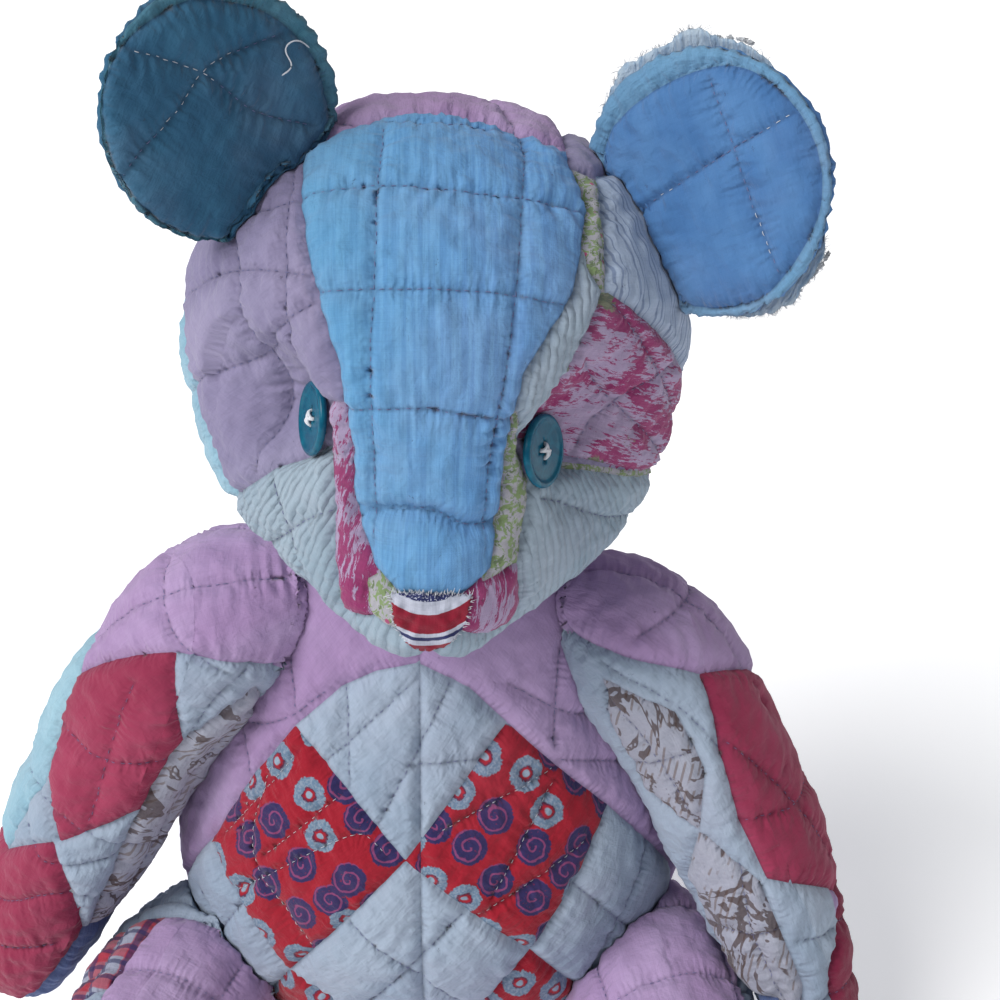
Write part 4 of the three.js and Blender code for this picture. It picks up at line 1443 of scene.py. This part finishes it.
for side, eye in EYES.items():
    place, *axes = button_axes(eye)
    axes = [head_turn @ axis for axis in axes]
    piece = make_mesh("button_eye_" + side, *button_mesh(in_head(place), *axes), [BUTTON])
    settle(piece, "teal_plastic", ["eye_button_" + side])
    parts = []
    for a, b in ((0, 2), (1, 3), (0, 2), (1, 3), (0, 2), (1, 3), (0, 1), (2, 3)):
        pa, pb = np.array([hole_at(a), hole_at(b)]) + rng.uniform(-0.35, 0.35, (2, 2))
        t = np.linspace(0, 1, 12)[:, None]
        rise = 0.6 + 3.0 * np.sin(np.pi * t[:, 0]) ** 0.45 + rng.uniform(-0.1, 0.5)
        flat = pa + (pb - pa) * (0.5 - 0.5 * np.cos(np.pi * t))
        path = in_head(place) + flat @ np.array(axes[:2]) + rise[:, None] * axes[2]
        parts.append(tube(path, 0.55, 6, 0.9))
    piece = make_mesh("thread_eye_" + side, *joined(parts), [THREAD])
    settle(piece, "white_thread", ["eye_thread_" + side])

# ---------------------------------------------------------------- ears
def ear_form(ear, grow, polar, angle):
    flat = np.sin(polar)
    rim = flat**0.8
    dish = EAR_DISH * (1 - flat**2)
    front = np.cos(polar)
    q = np.column_stack([-np.cos(angle) * rim * (ear["radius"] + grow),
                         -front * (EAR_HALF + grow) + np.where(front > 0, dish, 0.3 * dish),
                         np.sin(angle) * rim * (ear["radius"] + grow) + EAR_RISE])
    return q


def ear_place(ear):
    """How an ear is turned, and where it stands."""
    rotation = head_turn @ turn("z", ear["fan"]) @ turn("y", ear["tilt"]) @ turn("x", ear["lean"])
    return rotation, in_head(np.array(ear["at"], float))


EAR_DISCS = dict(
    right=[(32, 46), (22, 53), (10, 57), (-2, 58), (-12, 56), (-29, 49), (-40, 36), (-47, 20), (-46, 4),
           (-38, -11), (-24, -23), (0, -30), (24, -24), (40, -6), (45, 18), (41, 34)],
    left=[(-28, 51), (-12, 56), (7, 58), (26, 55), (39, 44), (47, 27), (48, 10), (42, -7), (29, -20),
          (13, -30), (-1, -32), (-18, -28), (-34, -15), (-43, 3), (-44, 24), (-38, 40)])
EAR_FABRICS = dict(right=("teal", "teal_band"), left=("midblue", "midblue_band"))
ear_radial = np.arcsin(np.clip(np.linspace(0, 0.985, 34)[1:] ** 1.25, 0, 1))
rim_rows = np.linspace(ear_radial[-1], np.pi - ear_radial[-1], 12)[1:-1]
ear_rows = np.concatenate([ear_radial, rim_rows, np.pi - ear_radial[::-1]])
for side, ear in EARS.items():
    disc = np.array(EAR_DISCS[side], float)
    steps = np.arange(len(disc) + 1)
    fine = np.linspace(0, len(disc), 8 * len(disc), endpoint=False)
    closed = np.concatenate([disc, disc[:1]])
    disc = np.stack([spline(fine, steps, closed[:, i]) for i in range(2)], 1)
    polar, angle, ear_faces = barrel(ear_rows, 172)
    plan = ear_form(ear, 0, polar, angle)
    rotation, origin = ear_place(ear)
    start = off_head(plan @ rotation.T + origin, COVER_GAP)

    def ear_label(q):
        within = inside_outline(q[:, [0, 2]], disc)
        return np.where(q[:, 1] < 0, np.where(within, 100, 101), 200)

    base, plan, faces, tags, seams = cut_by_label(start, plan, facing_out(start, ear_faces), ear_label)
    flat = plan[:, [0, 2]]
    traces = lines_on(base, flat, plan[:, 1] < 0, EAR_LINES[side])
    back = [[(-50, 20), (0, 24), (50, 18)], [(0, 66), (3, 20), (0, -26)], [(-26, 60), (-24, 10), (-20, -20)],
            [(27, 58), (26, 14), (22, -20)]]
    stitched = len(traces)
    traces += lines_on(base, flat, plan[:, 1] > 1, back)
    seed = 60 if side == "right" else 75
    held = held_by(base, plan @ rotation.T + origin)
    shaped, ear_seam, ear_normals = quilted(base, faces, seams[0], traces, puff=2.0, seam_depth=1.8,
                                            line_depth=1.1, pucker=0.75, lumps=0.8, held=held, seed=seed)
    around = np.arctan2(flat[:, 1] - EAR_RISE, flat[:, 0])
    out_from = np.linalg.norm(flat - [0, EAR_RISE], axis=1) / ear["radius"]
    gather = np.cos(around * 33 + 2.5 * waves(base, 22, seed=seed + 7)) * smooth(out_from, 0.8, 0.93)
    gather *= 1 - 0.6 * smooth(out_from, 0.94, 1)
    shaped = shaped + ear_normals * (0.6 * (1 - held) * gather * np.where(plan[:, 1] < 3, 1, 0.35))[:, None]
    shaped = off_head(shaped, TOUCH_GAP)

    def ear_cloth(tag, index):
        q = plan[index.reshape(-1)]
        if tag == 101:
            a = np.arctan2(q[:, 2] - EAR_RISE, q[:, 0])
            values = np.stack([np.hypot(q[:, 0], q[:, 2] - EAR_RISE), a * ear["radius"], 0 * a + tag], 1)
        else:
            values = np.stack([q[:, 0], q[:, 2], 0 * q[:, 0] + tag % 97], 1)
        return values.reshape(*index.shape, 3)

    def ear_fabric(tag):
        return EAR_FABRICS[side][1] if tag == 101 else EAR_FABRICS[side][0]

    slot = "teal_cotton" if side == "right" else "mid_blue_cotton"
    panels({"ear_front_" + side: (1, slot), "ear_back_" + side: (2, slot)},
           shaped, base, faces, tags, ear_fabric, ear_cloth, ear_seam, EAR_LINING)
    sew("quilting_ear_" + side, *running_stitches(
        shaped, ear_normals, traces[:stitched], pale=waves(shaped, 34, seed=seed) > 0.1, seed=seed))
    polar, angle, core_faces = barrel(np.linspace(0, np.pi, 25)[1:-1], 48)
    core = ear_form(ear, -EAR_CORE_IN, polar, angle) @ rotation.T + origin
    stuffing("wadding_ear_" + side, off_head(core, EAR_CORE_GAP), core_faces, "ear_batting_" + side)
    if side == "right":
        loose = [(20, 55), (12, 54), (9, 49), (14, 45), (11, 39)]
        stray = lines_on(base, flat, plan[:, 1] < 0, [loose], 1.0)[0]
        sew("loose_thread_ear_right", [tube(along(shaped, stray) + along(ear_normals, stray) * 1.1, 0.3)])


def torn_edge(ear, arcs, fibres):
    """A torn edge: a ragged flap of thin cloth stands out of the open seam, with fibres and wadding.

    Each arc has its two ends in degrees and its peaks, as (middle, height, spread).
    """
    r = np.random.default_rng(5)
    rotation, origin = ear_place(ear)
    radius = ear["radius"]
    fluff, strips = [], []

    def spot(a, out, forward):
        return np.stack([np.cos(a) * out, forward + 0 * a, np.sin(a) * out + EAR_RISE], -1)

    for low, high, peaks in arcs:
        a = np.radians(np.linspace(low, high, 240))
        place = np.column_stack([a * radius, 0 * a, 0 * a])
        taper = np.sin(np.pi * np.linspace(0, 1, len(a))) ** 0.6
        torn = 0.7 * waves(place, 11, seed=5) + 0.4 * waves(place, 3.2, seed=6)
        for middle, height, spread in peaks:
            torn = torn + height * np.exp(-(((np.degrees(a) - middle) / spread) ** 2))
        top = radius - 4 + (6.2 + torn) * taper
        folds = 0.8 * waves(place, 8, seed=9)
        levels = np.linspace(0, 1, 6)
        front = [spot(a, lerp(radius - 7, top, k), 7 - 2.4 * k + folds * k * (0.5 + 0.5 * k)) for k in levels]
        rows = front + [row + [0, 0.45, 0] for row in front[::-1]]
        count, wide = len(rows), len(a)
        j = np.arange(wide - 1)
        faces = []
        for row in range(count):
            b, c = row * wide, (row + 1) % count * wide
            faces += [np.stack([b + j, b + j + 1, c + j + 1], 1), np.stack([b + j, c + j + 1, c + j], 1)]
        for end, order in ((0, 1), (wide - 1, -1)):
            for k in range(count // 2 - 1):
                i, m = k * wide + end, (count - 1 - k) * wide + end
                faces.append(np.array([(i, i + wide, m - wide)[::order], (i, m - wide, m)[::order]]))
        points = np.concatenate(rows) @ rotation.T + origin
        strips.append((points, facing_out(points, np.concatenate(faces))))
        for _ in range(fibres):
            k = int(r.integers(8, wide - 8))
            size = r.uniform(0.8, 2.6)
            outward = np.array([math.cos(a[k]), 0, math.sin(a[k])])
            sidewise = np.array([-outward[2], 0, outward[0]])
            t = np.linspace(0, 1, 5)[:, None]
            root = outward * (top[k] - 0.6) + [0, 4.8 + folds[k], EAR_RISE]
            bend = sidewise * r.normal(0, 0.9) + [0, r.normal(0, 0.4), 0]
            path = root + outward * size * t + bend * size * t**2
            fluff.append(tube(path @ rotation.T + origin, r.uniform(0.06, 0.11), 3, 0.4))
        for _ in range(int((high - low) / 6)):
            k = int(r.integers(30, wide - 30))
            p, f = icosphere(3)
            size = np.array([r.uniform(0.6, 1.2), r.uniform(0.4, 0.8), r.uniform(1.0, 2.4)])
            lump = p * size * (1 + 0.35 * waves(p * 10, 7, seed=int(r.integers(1e6))))[:, None]
            c, sn = math.cos(a[k]), math.sin(a[k])
            lump = lump @ np.array([[c, 0, sn], [0, 1, 0], [-sn, 0, c]])
            lump = lump + np.array([c, 0, sn]) * (radius + r.uniform(0, 1.2)) + [0, 8.2, EAR_RISE]
            fluff.append((lump @ rotation.T + origin, f))
    settle(make_mesh("torn_wadding_ear_left", *joined(fluff), [BATTING]), "batting")
    points, faces = joined(strips)
    values = plain_cloth((points[faces] - origin).reshape(-1, 3)[:, [0, 2, 1]])
    flap = make_mesh("torn_cloth_ear_left", points, faces, [FABRICS["torn"]], None, values)
    settle(flap, "mid_blue_cotton")


torn_edge(EARS["left"], [(38, 150, [(112, 2.8, 9), (78, 3.4, 7)]), (-108, -40, [(-80, 1.2, 8)])],
          220)

# ---------------------------------------------------------------- limbs
def bezier(spine, t):
    p = np.array(spine, float)
    t = np.asarray(t)[:, None]
    place = (1 - t) ** 3 * p[0] + 3 * (1 - t) ** 2 * t * p[1] + 3 * (1 - t) * t**2 * p[2] + t**3 * p[3]
    heading = 3 * (1 - t) ** 2 * (p[1] - p[0]) + 6 * (1 - t) * t * (p[2] - p[1]) + 3 * t**2 * (p[3] - p[2])
    return place, unit(heading)


def straight(ends, t):
    a, b = (np.array(e, float) for e in ends)
    return a + (b - a) * np.asarray(t)[:, None], np.repeat(unit(b - a)[None], len(t), 0)


def limb_form(curve, front, girth, lift, grow, polar, angle, first=0.0):
    t = lerp(first, 1, 0.5 - 0.5 * np.cos(polar))
    place, heading = curve(t)
    front = np.array(front, float)
    forward = unit(front - heading * (heading @ front)[:, None])
    aside = np.cross(forward, heading)
    blunt = np.sin(polar) ** 0.6
    width, thick = girth(t)
    edge = grow * np.minimum(1, 1.5 * blunt)
    across = aside * (np.cos(angle) * (width * blunt + edge))[:, None]
    through = forward * (np.sin(angle) * (thick * blunt + edge) + lift(t))[:, None]
    p = place + across + through - heading * (np.cos(polar) * grow)[:, None]
    p[:, 2] = np.maximum(p[:, 2], -grow)
    return p, t


def arm_girth(t):
    g = lerp(0.84, 0.9, t) + 0.2 * np.sin(np.pi * t) + 0.22 * np.exp(-(((t - 0.2) / 0.17) ** 2))
    return 40 * g, 34 * g


def leg_lift(t):
    return 16 * smooth(t, 0.62, 0.9)


def leg_girth(t):
    return tuple(lerp(lerp(thigh, ankle, smooth(t, 0.1, 0.62)), foot, smooth(t, 0.62, 0.9))
                 for thigh, ankle, foot in ((52, 42, 43), (50, 40, 54)))


def pushed(points, pushes, gap):
    for push in pushes:
        points = push(points, gap)
    return points


def bedded(points, columns, pushes):
    """Redraws the end of a limb that lies inside its neighbours, as an even face within their contact."""
    grid = points[1:-1].reshape(-1, columns, 3)
    moved = np.linalg.norm(pushed(points, pushes, LIMB_GAP) - points, axis=1)
    inside = moved[1:-1].reshape(-1, columns) > 0.01
    last = np.argmin(inside, axis=0) - 1  # the last row of each column before it comes out
    if (last < 0).any():
        return points
    column = np.arange(columns)
    low, high = grid[last, column], grid[last + 1, column]
    hidden, shown = np.zeros(columns), np.ones(columns)
    for _ in range(8):
        t = (hidden + shown) / 2
        spot = low + (high - low) * t[:, None]
        out = np.linalg.norm(pushed(spot, pushes, LIMB_GAP) - spot, axis=1) < 0.01
        hidden, shown = np.where(out, hidden, t), np.where(out, t, shown)
    meet = low + (high - low) * shown[:, None]
    middle = meet.mean(0)
    for j in range(columns):
        t = np.arange(1, last[j] + 2)[:, None] / (last[j] + 1)
        grid[: last[j] + 1, j] = middle + (meet[j] - middle) * t
    return np.concatenate([middle[None], grid.reshape(-1, 3), points[-1:]])


def make_limb(name, curve, front, girth, lift, patches, lines, split, pushes, nodes, rows, columns, seed):
    """A stuffed limb: its quilted panels, its quilting and its wadding."""
    polar, angle, limb_faces = barrel(np.linspace(0, np.pi, rows + 1)[1:-1], columns)
    start, t = limb_form(curve, front, girth, lift, 0, polar, angle)
    spine = curve(np.linspace(0, 1, 200))[0]
    run = run_of(spine)
    s = np.interp(t, np.linspace(0, 1, 200), run)
    a = np.pi / 2 - angle
    start = bedded(start, columns, pushes)
    plan = np.column_stack([s, np.cos(a), np.sin(a), start])
    start = pushed(start, pushes, LIMB_GAP)

    def turned(q):
        return np.degrees(np.arctan2(q[:, 2], q[:, 1]))

    def label(q):
        patch = patch_label(np.column_stack([q[:, 0], turned(q)]), patches)
        return split(q[:, 3:]) * 100 + patch

    base, plan, faces, tags, seams = cut_by_label(start, plan, facing_out(start, limb_faces), label)
    flat = np.column_stack([plan[:, 0], turned(plan) * AROUND])
    traces = lines_on(base, flat, np.ones(len(base), bool), [[(x, y * AROUND) for x, y in l] for l in lines])
    held = held_by(base, plan[:, 3:])
    segments, sides = seams
    # a seam between two panels that runs inside one patch is left flat
    shown = (sides[:, 0] % 100 != sides[:, 1] % 100) | (sides.max(1) >= 300)
    shaped, limb_seam, limb_normals = quilted(base, faces, segments[shown], traces, lumps=1.2, held=held,
                                              seed=seed)
    shaped = eased(shaped, faces, 0.6 * held)
    shaped[:, 2] = np.maximum(shaped[:, 2], 0.0)
    shaped = pushed(shaped, pushes, TOUCH_GAP)

    def cloth_of(tag, index):
        q = plan[index.reshape(-1)]
        around = turned(q).reshape(index.shape)
        around = around + 360 * (around - around[:, :1] < -180) - 360 * (around - around[:, :1] > 180)
        u, v = q[:, 0].reshape(index.shape), around * AROUND
        down, across = turned_by(u, v, patches[tag % 100]["grain"])
        return np.stack([across, down, 0 * u + tag % 97], 2)

    panels(nodes, shaped, base, faces, tags, lambda tag: patches[tag % 100]["fabric"], cloth_of, limb_seam)
    sew("quilting_" + name, *running_stitches(shaped, limb_normals, traces, seed=seed))
    polar, angle, core_faces = barrel(np.linspace(0, np.pi, 41)[1:-1], 40)
    steps = np.linspace(0, 0.6, 61)
    axis_points = curve(steps)[0]
    free = np.linalg.norm(pushed(axis_points, pushes, 16) - axis_points, axis=1) < 0.01
    core, _ = limb_form(curve, front, girth, lift, -LINING - 1.6, polar, angle, steps[free.argmax()])
    limb, side = name.split("_")
    stuffing("wadding_" + name, pushed(core, pushes, LINING + 2.4), core_faces, f"{limb}_stuffing_{side}")


leg_trees = {}
for side, leg in LEGS.items():
    axis = unit(np.subtract(leg["toe"], leg["hip"]))
    outside = np.array([np.sign(leg["hip"][0]), 0, 0])
    outside = unit(outside - axis * (outside @ axis))

    def split_leg(p):
        sole = (p - leg["toe"]) @ axis > -SOLE_AT
        outer = (p - leg["hip"]) @ outside > 0
        return np.where(sole, 3, np.where(outer, 1, 2))

    nodes = {f"leg_outer_{side}": (1, "white_gauze"), f"leg_inner_{side}": (2, "mauve_cotton"),
             f"sole_{side}": (3, "mauve_cotton")}
    lines = [[(x, -178), (x + 4, -60), (x, 60), (x + 3, 178)] for x in (40, 84, 128, 172)] \
        + [[(-8, a), (120, a * 0.96), (210, a)] for a in (-135, -45, 45, 135)]
    def leg_curve(t):
        return straight((leg["hip"], leg["toe"]), t)

    make_limb("leg_" + side, leg_curve, (0, 0, 1), leg_girth, leg_lift, LEG_PATCHES[side], lines, split_leg,
              [off_body], nodes, 126, 106, 80 if side == "right" else 90)
    polar, angle, round_faces = barrel(np.linspace(0, np.pi, 61)[1:-1], 60)
    plump, _ = limb_form(leg_curve, (0, 0, 1), leg_girth, leg_lift, 1.6, polar, angle)
    round_faces = facing_out(plump, round_faces)
    leg_trees[side] = BVHTree.FromPolygons([Vector(p) for p in plump], round_faces.tolist())

for side, arm in ARMS.items():
    outward = unit(arm["outward"])

    def split_arm(p):
        return np.where((p - arm["spine"][1]) @ outward > 0, 1, 2)

    def off_leg(points, gap):
        return push_out_of(points, leg_trees[side], gap)

    make_limb("arm_" + side, lambda t: bezier(arm["spine"], t), arm["outward"], arm_girth, lambda t: 0 * t,
              ARM_PATCHES[side], ARM_LINES[side], split_arm, [off_body, off_head, off_leg],
              {f"arm_outer_{side}": (1, "red_cotton"), f"arm_inner_{side}": (2, "white_gauze")},
              190, 104, 100 if side == "right" else 110)

# ---------------------------------------------------------------- stage
FLOOR_HALF, FLOOR_DROP = 9000, 0.4  # millimetres
SKY, SKY_STRENGTH = (0.93, 0.96, 1.0, 1), 0.34
SUN_TOWARD, SUN_ENERGY, SUN_SPREAD, SUN_COLOUR = (2.4, 1.35, -2.5), 2.85, 38, (1, 0.985, 0.96)
CAMERA_AT, CAMERA_DIP, CAMERA_ANGLE = (0.030, -0.6186, 0.6445), math.radians(30), math.radians(35)

corners = [(x * FLOOR_HALF, y * FLOOR_HALF, -FLOOR_DROP) for x, y in ((-1, -1), (1, -1), (1, 1), (-1, 1))]
floor = make_mesh("studio_floor", np.array(corners), np.array([(0, 1, 2), (0, 2, 3)]), [], smooth_faces=False)
pale = bpy.data.materials.new("studio_floor")
pale.use_nodes = True
set_values(pale.node_tree.nodes["Principled BSDF"], {
    "Base Color": (0.93, 0.93, 0.94, 1), "Roughness": 0.95,
    "Emission Color": (0.97, 0.98, 1, 1), "Emission Strength": 0.36})  # a faint glow, which thins the shadow
floor.data.materials.append(pale)

scene = bpy.context.scene
scene.view_settings.view_transform = "Standard"
world = bpy.data.worlds.new("studio")
world.use_nodes = True
set_values(world.node_tree.nodes["Background"], {"Color": SKY, "Strength": SKY_STRENGTH})
scene.world = world


def aimed(data, toward):
    """A lamp or camera in the scene, turned to look that way."""
    thing = bpy.data.objects.new(data.name, data)
    thing.rotation_mode = "QUATERNION"
    thing.rotation_quaternion = Vector(toward).to_track_quat("-Z", "Y")
    scene.collection.objects.link(thing)
    return thing


sun = bpy.data.lights.new("key", "SUN")
sun.energy, sun.angle, sun.color = SUN_ENERGY, math.radians(SUN_SPREAD), SUN_COLOUR
aimed(sun, SUN_TOWARD)
view = bpy.data.cameras.new("camera")
view.angle, view.clip_start = CAMERA_ANGLE, 0.02
camera = aimed(view, (0, math.cos(CAMERA_DIP), -math.sin(CAMERA_DIP)))
camera.location = CAMERA_AT
scene.camera = camera
